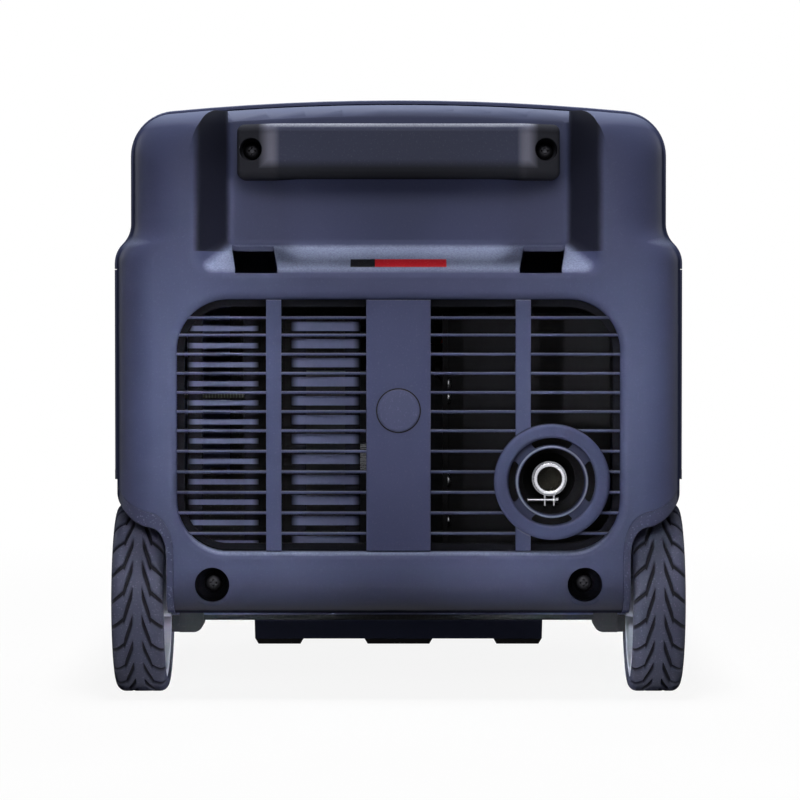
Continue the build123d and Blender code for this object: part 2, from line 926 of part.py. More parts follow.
def tyre_groove():
    with BuildPart() as groove:
        plane = Plane(origin=(0, axle_y, axle_z), x_dir=(1, 0, 0), z_dir=(0, -1, 0))
        with BuildSketch(plane):
            with BuildLine():
                Polyline(
                    (tyre_mid + rib_half, groove_lead),
                    (tyre_mid + groove_knee, groove_lead - groove_run),
                    (tyre_out + groove_over, groove_lead - groove_run - groove_sweep),
                    (tyre_out + groove_over, groove_lead - groove_run - groove_sweep - groove_width),
                    (tyre_mid + groove_knee - groove_width / 2, groove_lead - groove_run - groove_width),
                    (tyre_mid + rib_half, groove_lead - groove_width),
                    close=True,
                )
            make_face()
            mirror(about=Plane.YZ.offset(tyre_mid))
        extrude(amount=wheel_radius + groove_over)
        core_reach = 2 * groove_over
        rod_x(axle_y, axle_z, tyre_core, tyre_in - core_reach, tyre_out + core_reach, Mode.SUBTRACT)
    return groove.part


def wheel_tyre():
    groove = tyre_groove()
    with BuildPart() as tyre:
        with BuildSketch(Plane.XY.offset(axle_z)) as section:
            with Locations((tyre_mid, axle_y + (rim_radius + axle_fit + wheel_radius) / 2)):
                Rectangle(tyre_width, wheel_radius - rim_radius - axle_fit)
            fillet(section.vertices().group_by(Axis.Y)[-1], shoulder_round)
        revolve(axis=Axis((0, axle_y, axle_z), (1, 0, 0)))
        for step in range(tread_count):
            turned = groove.rotate(Axis((0, axle_y, axle_z), (1, 0, 0)), 360 * step / tread_count)
            add(turned, mode=Mode.SUBTRACT)
    return tyre.part


rim_shape = wheel_rim()
with BuildPart() as rim_right:
    add(rim_shape)
save(rim_right, "rim_right")
with BuildPart() as rim_left:
    add(rim_shape.mirror(Plane.YZ))
save(rim_left, "rim_left")
tyre_shape = wheel_tyre()
with BuildPart() as tyre_right:
    add(tyre_shape)
save(tyre_right, "tyre_right")
with BuildPart() as tyre_left:
    add(tyre_shape.mirror(Plane.YZ))
save(tyre_left, "tyre_left")

# Axle through both wheels, and the clips that hold them on
clip_groove = hub_out + fit_gap
with BuildPart() as axle:
    rod_x(axle_y, axle_z, axle_radius, -tyre_out + axle_inset, tyre_out - axle_inset)
    for side in (1, -1):
        x0 = side * clip_groove
        x1 = side * (clip_groove + clip_thick + fit_gap)
        rod_x(axle_y, axle_z, 2 * axle_radius, min(x0, x1), max(x0, x1), Mode.SUBTRACT)
        rod_x(axle_y, axle_z, axle_radius - clip_depth, min(x0, x1), max(x0, x1))
    chamfer(axle.edges().filter_by(GeomType.CIRCLE).sort_by(Axis.X)[0], axle_chamfer)
    chamfer(axle.edges().filter_by(GeomType.CIRCLE).sort_by(Axis.X)[-1], axle_chamfer)
save(axle, "axle")

with BuildPart() as axle_clips:
    for side in (1, -1):
        x0 = side * (clip_groove + fit_gap / 2)
        x1 = side * (clip_groove + fit_gap / 2 + clip_thick)
        rod_x(axle_y, axle_z, axle_radius + clip_reach, min(x0, x1), max(x0, x1))
        rod_x(axle_y, axle_z, axle_radius - clip_depth + axle_fit, min(x0, x1), max(x0, x1), Mode.SUBTRACT)
        slab(
            min(x0, x1),
            max(x0, x1),
            axle_y - clip_depth,
            axle_y + clip_depth,
            axle_z - 2 * axle_radius,
            axle_z,
            Mode.SUBTRACT,
        )
save(axle_clips, "axle_clips")

# Middle of the case between the two end covers
middle = joint_y - parting_gap / 2


def middle_shell(bottom_wall):
    with BuildPart() as shell:
        extrude(casing_outline(middle, 0, 0, 0, 0), amount=2 * middle)
        fillet(shell.faces().filter_by(Axis.Y).edges(), shell_round)
        inner = casing_outline(middle + parting_gap, wall, wall, wall, bottom_wall, wall)
        extrude(inner, amount=2 * (middle + parting_gap), mode=Mode.SUBTRACT)
    return shell.part


shell_shape = middle_shell(floor_thick)
floor_top = case_bottom + floor_thick

# Base tray with the hollow front foot, the two screw posts and slots for the axle brackets
with BuildPart() as base_tray:
    add(shell_shape)
    slab(-case_width, case_width, -case_length, case_length, tray_top, 2 * case_top, Mode.SUBTRACT)
    with BuildSketch(at_y(foot_y - foot_length / 2)):
        with BuildLine():
            Polyline(
                (-foot_half - foot_draft, case_bottom),
                (-foot_half, pad_height),
                (foot_half, pad_height),
                (foot_half + foot_draft, case_bottom),
                close=True,
            )
        make_face()
    extrude(amount=-foot_length)
    foot_cell = (2 * foot_half - (foot_cells + 1) * wall) / foot_cells
    with Locations((0, foot_y, (pad_height + wall + floor_top) / 2)):
        with GridLocations(foot_cell + wall, 0, foot_cells, 1):
            Box(foot_cell, foot_length - 2 * wall, floor_top - pad_height - wall, mode=Mode.SUBTRACT)
    for side in (1, -1):
        boss_front = -half_length + corner_bore_depth + boss_wall + fit_gap
        web_x = side * corner_screw_x
        rod_y(web_x, corner_screw_z, post_radius, boss_front, -middle + post_web)
        slab(
            web_x - post_radius,
            web_x + post_radius,
            -middle,
            -middle + post_web,
            case_bottom,
            corner_screw_z,
        )
        rod_y(
            web_x,
            corner_screw_z,
            screw_shank + screw_clearance,
            boss_front,
            boss_front + corner_grip,
            Mode.SUBTRACT,
        )
        slot_x = side * (bracket_in + bracket_wide / 2)
        slab(
            slot_x - bracket_wide / 2 - fit_gap,
            slot_x + bracket_wide / 2 + fit_gap,
            axle_y - bracket_length / 2 - fit_gap,
            axle_y + bracket_length / 2 + fit_gap,
            0,
            floor_top,
            Mode.SUBTRACT,
        )
    add(wheel_space, mode=Mode.SUBTRACT)
save(base_tray, "base_tray")

with BuildPart() as front_foot_pads:
    with BuildSketch(at_y(foot_y - foot_length / 2 + pad_set)):
        for x0, x1 in foot_spans:
            with BuildLine():
                Polyline(
                    (x0, pad_height),
                    (x0 + pad_draft, 0),
                    (x1 - pad_draft, 0),
                    (x1, pad_height),
                    close=True,
                )
            make_face()
    extrude(amount=-(foot_length - 2 * pad_set))
save(front_foot_pads, "front_foot_pads")

# Plates that carry the axle, hung through the tray floor
with BuildPart() as axle_brackets:
    for side in (1, -1):
        x0 = side * (bracket_in + bracket_wide / 2) - bracket_wide / 2
        x1 = x0 + bracket_wide
        front = axle_y + bracket_length / 2
        slab(x0, x1, axle_y - bracket_length / 2, front, bracket_low, bracket_high)
        slab(x0, x1, front, front + bracket_tail, floor_top, floor_top + bracket_plate)
    low_edges = axle_brackets.edges().filter_by(Axis.Y).group_by(Axis.Z)[0]
    inner_edges = low_edges.sort_by(lambda edge: abs(edge.center().X))[:2]
    fillet(inner_edges, bracket_round)
    rod_x(axle_y, axle_z, axle_radius + axle_fit, -half_width, half_width, Mode.SUBTRACT)
save(axle_brackets, "axle_brackets")


# Side panel at +X with a recessed field and a block of louvre slots
def side_panel():
    low = tray_top + parting_gap
    with BuildPart() as panel:
        slab(half_width - wall, half_width, -middle, middle, low, side_top)
        fillet(panel.edges().filter_by(Axis.Z).group_by(Axis.X)[-1], shell_round)
        with BuildSketch(Plane.YZ.offset(half_width)):
            with Locations((0, (low + side_top) / 2)):
                RectangleRounded(2 * (middle - field_edge), side_top - low - 2 * field_edge, field_corner)
        extrude(amount=-field_depth, mode=Mode.SUBTRACT)
        with BuildSketch(Plane.YZ.offset(half_width)):
            with Locations((louvre_y, louvre_z)):
                with GridLocations(0, louvre_pitch, 1, louvre_count):
                    SlotOverall(louvre_long, louvre_wide)
        extrude(amount=-2 * wall, mode=Mode.SUBTRACT)
        add(wheel_space, mode=Mode.SUBTRACT)
    return panel.part


panel_shape = side_panel()
with BuildPart() as side_cover_right:
    add(panel_shape)
save(side_cover_right, "side_cover_right")

# The left panel also holds the cup of the starter grip
with BuildPart() as side_cover_left:
    add(panel_shape.mirror(Plane.YZ))
    cup_plane = Plane(origin=(-half_width, recoil_y, recoil_z), x_dir=(0, 1, 0), z_dir=(-1, 0, 0))
    with BuildSketch(cup_plane.offset(-field_depth)):
        SlotOverall(grip_cup_long + 2 * wall, grip_cup_wide + 2 * wall, rotation=90)
    extrude(amount=-grip_cup_depth)
    with BuildSketch(cup_plane):
        SlotOverall(grip_cup_long, grip_cup_wide, rotation=90)
    extrude(amount=-grip_cup_depth + wall - field_depth, mode=Mode.SUBTRACT)
    rod_x(recoil_y, recoil_z, rope_radius + rope_clear, -half_width, -half_width / 2, Mode.SUBTRACT)
save(side_cover_left, "side_cover_left")

# Top cover with the filler well and the hangers of the guide tubes
well_floor = case_top - well_depth
hanger_half = guide_radius + wall
with BuildPart() as top_cover:
    add(shell_shape)
    slab(
        -case_width, case_width, -case_length, case_length, -case_top, side_top + parting_gap, Mode.SUBTRACT
    )
    rod_z(0, filler_y, well_radius + wall, well_floor - wall, case_top - wall / 2)
    rod_z(0, filler_y, well_radius, well_floor, case_top + wall, Mode.SUBTRACT)
    rod_z(0, filler_y, neck_radius + fit_gap, well_floor - wall, well_floor, Mode.SUBTRACT)
    for side in (1, -1):
        x = side * tow_x
        with BuildSketch(at_y(guide_back + wall)):
            with BuildLine():
                Polyline(
                    (x - hanger_half, tow_z - hanger_half),
                    (x + hanger_half, tow_z - hanger_half),
                    (x + hanger_half, crown_at(x + hanger_half) - hanger_bite),
                    (x - hanger_half, crown_at(x - hanger_half) - hanger_bite),
                    close=True,
                )
            make_face()
        extrude(amount=-wall)
        rod_y(x, tow_z, guide_radius + axle_fit, guide_back, guide_back + 3 * wall, Mode.SUBTRACT)
save(top_cover, "top_cover")

# Front cover with the tow-grip recess and the control panel opening
panel_mid = (panel_low + panel_high) / 2
panel_height = panel_high - panel_low
with BuildPart() as front_cover:
    add(end_cover(front_ledge_front, front_ledge_back).mirror(Plane.XZ))
    with BuildSketch(at_y(half_length - wall)):
        with Locations((0, panel_mid)):
            RectangleRounded(
                2 * (panel_half + collar_width), panel_height + 2 * collar_width, panel_corner + collar_width
            )
    extrude(amount=collar_depth - wall)
    with BuildSketch(at_y(half_length)):
        with Locations((0, panel_mid)):
            RectangleRounded(2 * panel_half, panel_height, panel_corner)
    extrude(amount=collar_depth, mode=Mode.SUBTRACT)
    face = front_cover.faces().filter_by(Axis.Y).sort_by(Axis.Y)[-1]
    fillet(face.inner_wires()[0].edges(), opening_lip)
    for side in (1, -1):
        rod_y(
            side * tow_x,
            tow_z,
            guide_radius + axle_fit,
            recess_back_y - 2 * wall,
            recess_back_y + wall,
            Mode.SUBTRACT,
        )
save(front_cover, "front_cover")

# Control panel plate, set back in its opening
panel_face = half_length - panel_set
panel_back = panel_face - panel_thick
with BuildPart() as control_panel:
    with BuildSketch(at_y(panel_face)):
        with Locations((0, panel_mid)):
            RectangleRounded(2 * (panel_half - fit_gap), panel_height - 2 * fit_gap, panel_corner - fit_gap)
    extrude(amount=panel_face - collar_back + flange_thick)
    with BuildSketch(at_y(panel_back)):
        with Locations((0, panel_mid)):
            RectangleRounded(2 * (panel_half - wall), panel_height - 2 * wall, panel_corner - wall)
    extrude(amount=panel_thick + collar_depth, mode=Mode.SUBTRACT)
    with BuildSketch(at_y(collar_back)):
        with Locations((0, panel_mid)):
            RectangleRounded(
                2 * (panel_half + collar_width), panel_height + 2 * collar_width, panel_corner + collar_width
            )
            RectangleRounded(
                2 * (panel_half - wall),
                panel_height - 2 * wall,
                panel_corner - wall,
                mode=Mode.SUBTRACT,
            )
    extrude(amount=flange_thick)
    for x in (socket_x, -socket_x):
        rod_y(x, socket_row, socket_bore + socket_wall + fit_gap, panel_back, panel_face, Mode.SUBTRACT)
    rod_y(dc_x, socket_row, dc_bore + socket_wall + fit_gap, panel_back, panel_face, Mode.SUBTRACT)
    rod_y(switch_x, control_row, crank_radius / 2 + fit_gap, panel_back, panel_face, Mode.SUBTRACT)
    rod_y(start_x, control_row, start_radius + fit_gap, panel_back, panel_face, Mode.SUBTRACT)
    rod_y(breaker_x, control_row, breaker_radius + fit_gap, panel_back, panel_face, Mode.SUBTRACT)
    slab(
        -rocker_half - fit_gap,
        rocker_half + fit_gap,
        panel_back,
        panel_face,
        control_row - rocker_radius - fit_gap,
        control_row + rocker_radius + fit_gap,
        Mode.SUBTRACT,
    )
    for step in (-1, 0, 1):
        x = lens_x + step * lens_spacing
        rod_y(x, control_row, lens_radius + axle_fit, panel_back, panel_face, Mode.SUBTRACT)
    rod_y(switch_x, socket_row, stud_radius + screw_clearance, panel_back, panel_face, Mode.SUBTRACT)
save(control_panel, "control_panel")

# Pull-out tow handle: guide tubes fixed in the case, a bent inner tube and a moulded grip
with BuildPart() as handle_guide_tubes:
    for side in (1, -1):
        rod_y(side * tow_x, tow_z, guide_radius, guide_back, recess_back_y)
        rod_y(side * tow_x, tow_z, guide_bore, guide_back, recess_back_y, Mode.SUBTRACT)
save(handle_guide_tubes, "handle_guide_tubes")

tow_end = guide_back + 2 * wall
with BuildPart() as tow_handle:
    with BuildLine() as tow_path:
        FilletPolyline(
            (-tow_x, tow_end, tow_z),
            (-tow_x, tow_bar_y, tow_z),
            (tow_x, tow_bar_y, tow_z),
            (tow_x, tow_end, tow_z),
            radius=tow_bend,
        )
    with BuildSketch(at_y(tow_end)):
        with Locations((-tow_x, tow_z)):
            Circle(tow_tube)
    sweep(path=tow_path.wire())
save(tow_handle, "tow_handle")

grip_mid = (grip_low + grip_high) / 2
with BuildPart() as tow_grip:
    with BuildSketch(Plane.YZ.offset(-grip_half)):
        with Locations((tow_bar_y, grip_mid)):
            RectangleRounded(grip_width, grip_high - grip_low, grip_width / 3)
    extrude(amount=2 * grip_half)
    fillet(tow_grip.faces().filter_by(Axis.X).edges(), grip_width / 10)
    rod_x(tow_bar_y, tow_z, tow_tube + axle_fit, -grip_half, grip_half, Mode.SUBTRACT)
    with BuildSketch(Plane.XY.offset(grip_high)):
        with Locations((0, tow_bar_y)):
            SlotOverall(release_long + 2 * fit_gap, release_wide + 2 * fit_gap)
    extrude(amount=-release_pocket, mode=Mode.SUBTRACT)
save(tow_grip, "tow_grip")

with BuildPart() as release_button:
    with BuildSketch(Plane.XY.offset(grip_high - release_pocket + release_travel + fit_gap)):
        with Locations((0, tow_bar_y)):
            SlotOverall(release_long, release_wide)
    extrude(amount=release_pocket - release_travel + release_proud)
    fillet(release_button.faces().sort_by(Axis.Z)[-1].edges(), release_proud / 2)
save(release_button, "release_button")

# Fuel tank under the crown, its cap and the vent knob on the cap
tank_top = well_floor - wall
with BuildPart() as fuel_tank:
    with BuildSketch(Plane.XY.offset(tank_low)):
        RectangleRounded(2 * tank_half_x, 2 * tank_half_y, 2 * tank_round)
    extrude(amount=tank_top - tank_low)
    fillet(fuel_tank.faces().sort_by(Axis.Z)[0].edges(), tank_round)
    fillet(fuel_tank.faces().sort_by(Axis.Z)[-1].edges(), tank_round)
    neck_top = tank_top + neck_height + wall
    rod_z(0, filler_y, neck_radius, tank_top, neck_top)
    rod_z(0, filler_y, neck_radius - neck_wall, tank_top - tank_round, neck_top, Mode.SUBTRACT)
save(fuel_tank, "fuel_tank")

cap_low = well_floor + fuel_cap_lift
cap_high = cap_low + fuel_cap_height
with BuildPart() as fuel_cap:
    rod_z(0, filler_y, cap_skirt, cap_low, cap_high)
    fillet(fuel_cap.edges().filter_by(GeomType.CIRCLE).sort_by(Axis.Z)[-1], fuel_cap_round)
    with BuildSketch(Plane.XY.offset(cap_low)):
        with Locations((0, filler_y)):
            with PolarLocations(cap_skirt + cap_flute / 2, cap_flutes):
                Circle(cap_flute)
    extrude(amount=fuel_cap_height - fuel_cap_round, mode=Mode.SUBTRACT)
    rod_z(0, filler_y, neck_radius + fit_gap, cap_low, neck_top + fit_gap, Mode.SUBTRACT)
    rod_z(0, filler_y, knob_stem + fit_gap, cap_low, cap_high, Mode.SUBTRACT)
save(fuel_cap, "fuel_cap")

with BuildPart() as vent_knob:
    rod_z(0, filler_y, knob_stem, cap_high - knob_height, cap_high + fit_gap)
    with BuildSketch(Plane.XY.offset(cap_high + fit_gap)):
        with Locations((0, filler_y)):
            Circle(knob_hub)
            Rectangle(2 * knob_radius, knob_wide)
    extrude(amount=knob_height - 2 * fit_gap)
save(vent_knob, "vent_knob")

# Engine: crankcase with feet, finned barrel, head, rocker cover and plug
tilt = radians(cylinder_tilt)
bore_plane = Plane(
    origin=(crank_x, cylinder_y, crank_z), x_dir=(0, 1, 0), z_dir=(cos(tilt), 0, sin(tilt))
)
with BuildPart() as engine_block:
    with BuildSketch(at_y(case_back)):
        with Locations((crank_x, (case_low + case_high) / 2)):
            RectangleRounded(2 * case_half, case_high - case_low, case_round)
    extrude(amount=-(case_front - case_back))
    with BuildSketch(bore_plane):
        Circle(head_half - fin_thick)
    extrude(amount=head_start)
    pitch = (head_start - barrel_start - fin_thick) / (fin_count - 1)
    for step in range(fin_count):
        with BuildSketch(bore_plane.offset(barrel_start + step * pitch)):
            RectangleRounded(2 * head_half, 2 * fin_half, case_round / 2)
        extrude(amount=fin_thick)
    for x in (crank_x - mount_x, crank_x + mount_x):
        for y in (cylinder_y - mount_y, cylinder_y + mount_y):
            rod_z(x, y, mount_radius, floor_top + mount_height, case_low + case_round)
    rod_y(crank_x, crank_z, crank_radius + fit_gap, case_back, case_front, Mode.SUBTRACT)
save(engine_block, "engine_block")

with BuildPart() as cylinder_head:
    with BuildSketch(bore_plane.offset(head_start)):
        RectangleRounded(2 * head_half, 2 * fin_half, case_round / 2)
    extrude(amount=head_height)
    for step in range(1, head_fins + 1):
        groove_start = head_start + step * head_height / (head_fins + 1) - fin_thick / 2
        with BuildSketch(bore_plane.offset(groove_start)):
            with Locations((0, fin_half), (0, -fin_half)):
                Rectangle(2 * head_half, head_groove * 2)
        extrude(amount=fin_thick, mode=Mode.SUBTRACT)
save(cylinder_head, "cylinder_head")

with BuildPart() as valve_cover:
    with BuildSketch(bore_plane.offset(head_start + head_height)):
        RectangleRounded(2 * head_half - rocker_inset, 2 * fin_half - 2 * rocker_inset, case_round)
    extrude(amount=rocker_height)
    top = valve_cover.faces().sort_by(Axis((0, 0, 0), (cos(tilt), 0, sin(tilt))))[-1]
    fillet(top.edges(), rocker_inset / 2)
save(valve_cover, "valve_cover")

plug_plane = Plane(
    origin=bore_plane.from_local_coords((0, -fin_half, head_start + head_height / 2)),
    x_dir=(0, 1, 0),
    z_dir=(sin(tilt), 0, -cos(tilt)),
)
with BuildPart() as spark_plug:
    plug_base = 0.0
    for radius, length in plug_steps:
        with BuildSketch(plug_plane.offset(plug_base)):
            Circle(radius)
        extrude(amount=length)
        plug_base += length
save(spark_plug, "spark_plug")

with BuildPart() as engine_mounts:
    for x in (crank_x - mount_x, crank_x + mount_x):
        for y in (cylinder_y - mount_y, cylinder_y + mount_y):
            with Locations((x, y, floor_top + mount_height / 2)):
                Cone(mount_foot, mount_radius, mount_height)
save(engine_mounts, "engine_mounts")

# Carburettor between the head and the air filter box
port = bore_plane.from_local_coords((0, 0, head_start + head_height / 2))
carb_back = cylinder_y + head_half
carb_front = carb_back + carb_length
with BuildPart() as carburettor:
    rod_y(port.X, port.Z, header_radius, carb_back, carb_front)
    slab(
        port.X - carb_half,
        port.X + carb_half,
        carb_back + carb_length / 4,
        carb_front - carb_length / 4,
        port.Z - carb_half,
        port.Z + carb_half,
    )
    bowl_top = port.Z - carb_half
    rod_z(port.X, (carb_back + carb_front) / 2, bowl_radius, bowl_top - bowl_drop, bowl_top)
save(carburettor, "carburettor")

with BuildPart() as air_filter_box:
    slab(filter_x0, filter_x1, carb_front, filter_y1, filter_z0, filter_z1)
    fillet(air_filter_box.edges().filter_by(Axis.Y), case_round)
    with BuildSketch(at_y(filter_y1)):
        with Locations(((filter_x0 + filter_x1) / 2, (filter_z0 + filter_z1) / 2)):
            with GridLocations(0, louvre_pitch, 1, filter_slots):
                SlotOverall(filter_x1 - filter_x0 - 2 * case_round, louvre_wide)
    extrude(amount=filter_slot_depth, mode=Mode.SUBTRACT)
save(air_filter_box, "air_filter_box")

# Alternator: fixed stator, outer rotor bell, fan, shroud and starter
with BuildPart() as stator:
    rod_y(crank_x, crank_z, stator_hub, case_front, rotor_front - 3 * fin_thick)
    with BuildSketch(at_y(rotor_back)):
        with Locations((crank_x, crank_z)):
            with PolarLocations((stator_hub + stator_radius) / 2, stator_teeth):
                Rectangle(stator_radius - stator_hub + fin_thick, tooth_width)
    extrude(amount=-(rotor_front - 3 * fin_thick - rotor_back))
    rod_y(crank_x, crank_z, stator_radius, case_front, rotor_front, Mode.INTERSECT)
    rod_y(crank_x, crank_z, crank_radius + stator_bore, case_front, rotor_front, Mode.SUBTRACT)
save(stator, "stator")

with BuildPart() as crankshaft:
    rod_y(crank_x, crank_z, crank_radius, case_back, fan_front + fin_thick)
    chamfer(crankshaft.edges().filter_by(GeomType.CIRCLE), crank_chamfer)
save(crankshaft, "crankshaft")

with BuildPart() as rotor:
    rod_y(crank_x, crank_z, rotor_radius, rotor_back, rotor_front)
    rod_y(crank_x, crank_z, rotor_inner, rotor_back, rotor_front - 2 * fin_thick, Mode.SUBTRACT)
    with BuildSketch(at_y(rotor_front)):
        with Locations((crank_x, crank_z)):
            with PolarLocations((rotor_inner + crank_radius) / 2, rotor_holes):
                Circle(crank_radius)
    extrude(amount=2 * fin_thick, mode=Mode.SUBTRACT)
    rod_y(crank_x, crank_z, crank_radius + axle_fit, rotor_back, rotor_front, Mode.SUBTRACT)
save(rotor, "rotor")

with BuildPart() as cooling_fan:
    rod_y(crank_x, crank_z, rotor_radius, rotor_front, rotor_front + fin_thick)
    rod_y(crank_x, crank_z, 2 * crank_radius, rotor_front, fan_front)
    with BuildSketch(at_y(rotor_front)):
        with Locations((crank_x, crank_z)):
            with PolarLocations((rotor_radius + 3 * crank_radius) / 2, fan_blades):
                Rectangle(rotor_radius - 3 * crank_radius, fin_thick, rotation=blade_rake)
    extrude(amount=-(fan_front - rotor_front))
    rod_y(crank_x, crank_z, rotor_radius, rotor_front, fan_front, Mode.INTERSECT)
    rod_y(crank_x, crank_z, crank_radius + axle_fit, rotor_front, fan_front, Mode.SUBTRACT)
save(cooling_fan, "cooling_fan")

with BuildPart() as fan_shroud:
    rod_y(crank_x, crank_z, shroud_radius, case_front, shroud_front)
    shroud_bore = shroud_radius - shroud_wall
    rod_y(crank_x, crank_z, shroud_bore, case_front + shroud_wall, shroud_front, Mode.SUBTRACT)
    rod_y(crank_x, crank_z, stator_hub + fin_thick, case_front, shroud_front, Mode.SUBTRACT)
save(fan_shroud, "fan_shroud")

with BuildPart() as recoil_housing:
    rod_y(crank_x, crank_z, shroud_radius, shroud_front, shroud_front + shroud_wall)
    rod_y(crank_x, crank_z, recoil_radius, shroud_front, recoil_front)
    recoil_bore = recoil_radius - shroud_wall
    rod_y(crank_x, crank_z, recoil_bore, shroud_front, recoil_front - shroud_wall, Mode.SUBTRACT)
    with BuildSketch(at_y(recoil_front)):
        with Locations((crank_x, crank_z)):
            with PolarLocations((recoil_radius + reel_flange) / 2 - shroud_wall, recoil_slots):
                SlotOverall(recoil_radius - reel_flange - shroud_wall, louvre_wide)
    extrude(amount=shroud_wall, mode=Mode.SUBTRACT)
    rod_y(crank_x, crank_z, reel_post, reel_back, recoil_front)
    rod_x(recoil_y, recoil_z, 2 * rope_radius, crank_x - recoil_radius, crank_x - reel_radius, Mode.SUBTRACT)
save(recoil_housing, "recoil_housing")

with BuildPart() as recoil_reel:
    rod_y(crank_x, crank_z, reel_flange, reel_back, reel_front)
    with BuildSketch(Plane.XY.offset(crank_z)):
        with Locations((crank_x + reel_flange, recoil_y)):
            groove_deep = reel_flange - reel_radius + rope_radius + fit_gap
            Rectangle(2 * groove_deep, reel_front - reel_back - 2 * reel_rim)
    revolve(axis=Axis((crank_x, 0, crank_z), (0, 1, 0)), mode=Mode.SUBTRACT)
    rod_y(crank_x, crank_z, reel_post + axle_fit, reel_back, reel_front, Mode.SUBTRACT)
save(recoil_reel, "recoil_reel")

# Starter rope from the reel to the grip, and the grip in its cup
cup_floor = -half_width + grip_cup_depth - wall + field_depth
with BuildPart() as recoil_rope:
    rod_x(recoil_y, recoil_z, rope_radius, cup_floor - wall + fit_gap, crank_x)
save(recoil_rope, "recoil_rope")

with BuildPart() as recoil_grip:
    grip_seat = (cup_floor - fit_gap, recoil_y, recoil_z)
    with BuildSketch(Plane(origin=grip_seat, x_dir=(0, 1, 0), z_dir=(-1, 0, 0))):
        SlotOverall(grip_cup_long - 2 * grip_gap, grip_cup_wide - 2 * grip_gap, rotation=90)
    extrude(amount=grip_cup_depth - wall - fit_gap)
    fillet(recoil_grip.faces().sort_by(Axis.X)[0].edges(), grip_gap)
    rod_x(recoil_y, recoil_z, rope_radius + fit_gap, cup_floor - wall, cup_floor, Mode.SUBTRACT)
save(recoil_grip, "recoil_grip")

# Exhaust box with its header, the tail pipe, the spark screen with its clamp, and a heat shield
with BuildPart() as muffler:
    slab(muffler_x0, muffler_x1, muffler_back, muffler_front, muffler_z0, muffler_z1)
    fillet(muffler.edges().filter_by(Axis.Y), 2 * case_round)
    fillet(muffler.faces().filter_by(Axis.Y).edges(), case_round / 3)
    rod_y(port.X, port.Z, header_radius, muffler_front, cylinder_y - head_half)
save(muffler, "muffler")

with BuildPart() as tail_pipe:
    rod_y(outlet_x, outlet_z, pipe_radius, -pipe_end, muffler_back)
    rod_y(outlet_x, outlet_z, pipe_radius - pipe_wall, -pipe_end, muffler_back, Mode.SUBTRACT)
save(tail_pipe, "tail_pipe")

screen_radius = pipe_radius - pipe_wall - axle_fit
with BuildPart() as spark_arrester:
    rod_y(outlet_x, outlet_z, screen_radius, -pipe_end + screen_set, -pipe_end + screen_set + screen_length)
    rod_y(
        outlet_x,
        outlet_z,
        screen_radius - screen_wall,
        -pipe_end + screen_set + screen_wall,
        -pipe_end + screen_set + screen_length,
        Mode.SUBTRACT,
    )
save(spark_arrester, "spark_arrester")

with BuildPart() as arrester_clamp:
    band_back = -pipe_end + clamp_set + clamp_wide
    rod_y(outlet_x, outlet_z, pipe_radius + clamp_thick, -pipe_end + clamp_set, band_back)
    for side in (1, -1):
        x = outlet_x + side * clamp_gap
        slab(
            min(x, x + side * clamp_thick),
            max(x, x + side * clamp_thick),
            -pipe_end + clamp_set,
            band_back,
            outlet_z - pipe_radius - clamp_ear,
            outlet_z,
        )
    rod_y(outlet_x, outlet_z, pipe_radius + axle_fit, -pipe_end, band_back, Mode.SUBTRACT)
    rod_x(
        -pipe_end + clamp_set + clamp_wide / 2,
        outlet_z - pipe_radius - clamp_ear / 2,
        clamp_wide / 4,
        outlet_x - screw_left,
        outlet_x + screw_right,
    )
save(arrester_clamp, "arrester_clamp")

shield_y = muffler_back - shield_gap
with BuildPart() as muffler_shield:
    slab(
        muffler_x0 - shield_gap,
        muffler_x1 + fin_thick,
        shield_y - shield_thick,
        shield_y,
        muffler_z0 - shield_gap,
        muffler_z1 + shield_gap,
    )
    rod_y(outlet_x, outlet_z, shield_hole, shield_y - shield_thick, shield_y, Mode.SUBTRACT)
    slab(
        muffler_x0 - shield_gap - flange_wide,
        muffler_x0 - shield_gap,
        shield_y - shield_flange,
        shield_y,
        muffler_z0 - shield_gap,
        muffler_z1 + shield_gap,
    )
    for z in (muffler_z0 + 3 * case_round, muffler_z1 - 3 * case_round):
        rod_y(muffler_x0 + 3 * case_round, z, screw_head, shield_y, muffler_back)
save(muffler_shield, "muffler_shield")

# Battery, and the inverter box with cooling fins on its front
with BuildPart() as battery:
    slab(battery_x0, battery_x1, battery_y0, battery_y1, floor_top, battery_high)
    fillet(battery.edges().filter_by(Axis.Z), case_round / 3)
    for y in (battery_y0 + case_round, battery_y1 - case_round):
        rod_z((battery_x0 + battery_x1) / 2, y, screw_head, battery_high, battery_high + case_round / 2)
save(battery, "battery")

with BuildPart() as inverter_module:
    slab(-inverter_half, inverter_half, inverter_y0, inverter_y1, floor_top, inverter_high)
    with BuildSketch(Plane.XY.offset(floor_top)):
        with Locations((0, inverter_y1)):
            with GridLocations(2 * inverter_half / inverter_fins, 0, inverter_fins, 1):
                Rectangle(inverter_half / inverter_fins, inverter_groove * 2)
    extrude(amount=inverter_high - floor_top, mode=Mode.SUBTRACT)
save(inverter_module, "inverter_module")

# Mains sockets, low-voltage socket and earth stud
with BuildPart() as ac_sockets:
    for x in (socket_x, -socket_x):
        socket_front = panel_face + flange_proud
        rod_y(x, socket_row, socket_flange, panel_face, socket_front)
        rod_y(x, socket_row, socket_bore + socket_wall, panel_face - socket_depth - socket_wall, panel_face)
        rod_y(x, socket_row, socket_bore, socket_front - socket_depth, socket_front, Mode.SUBTRACT)
        for side in (1, -1):
            rod_y(
                x + side * pin_spacing,
                socket_row,
                pin_radius,
                panel_face - socket_depth - socket_wall,
                panel_face,
                Mode.SUBTRACT,
            )
save(ac_sockets, "ac_sockets")

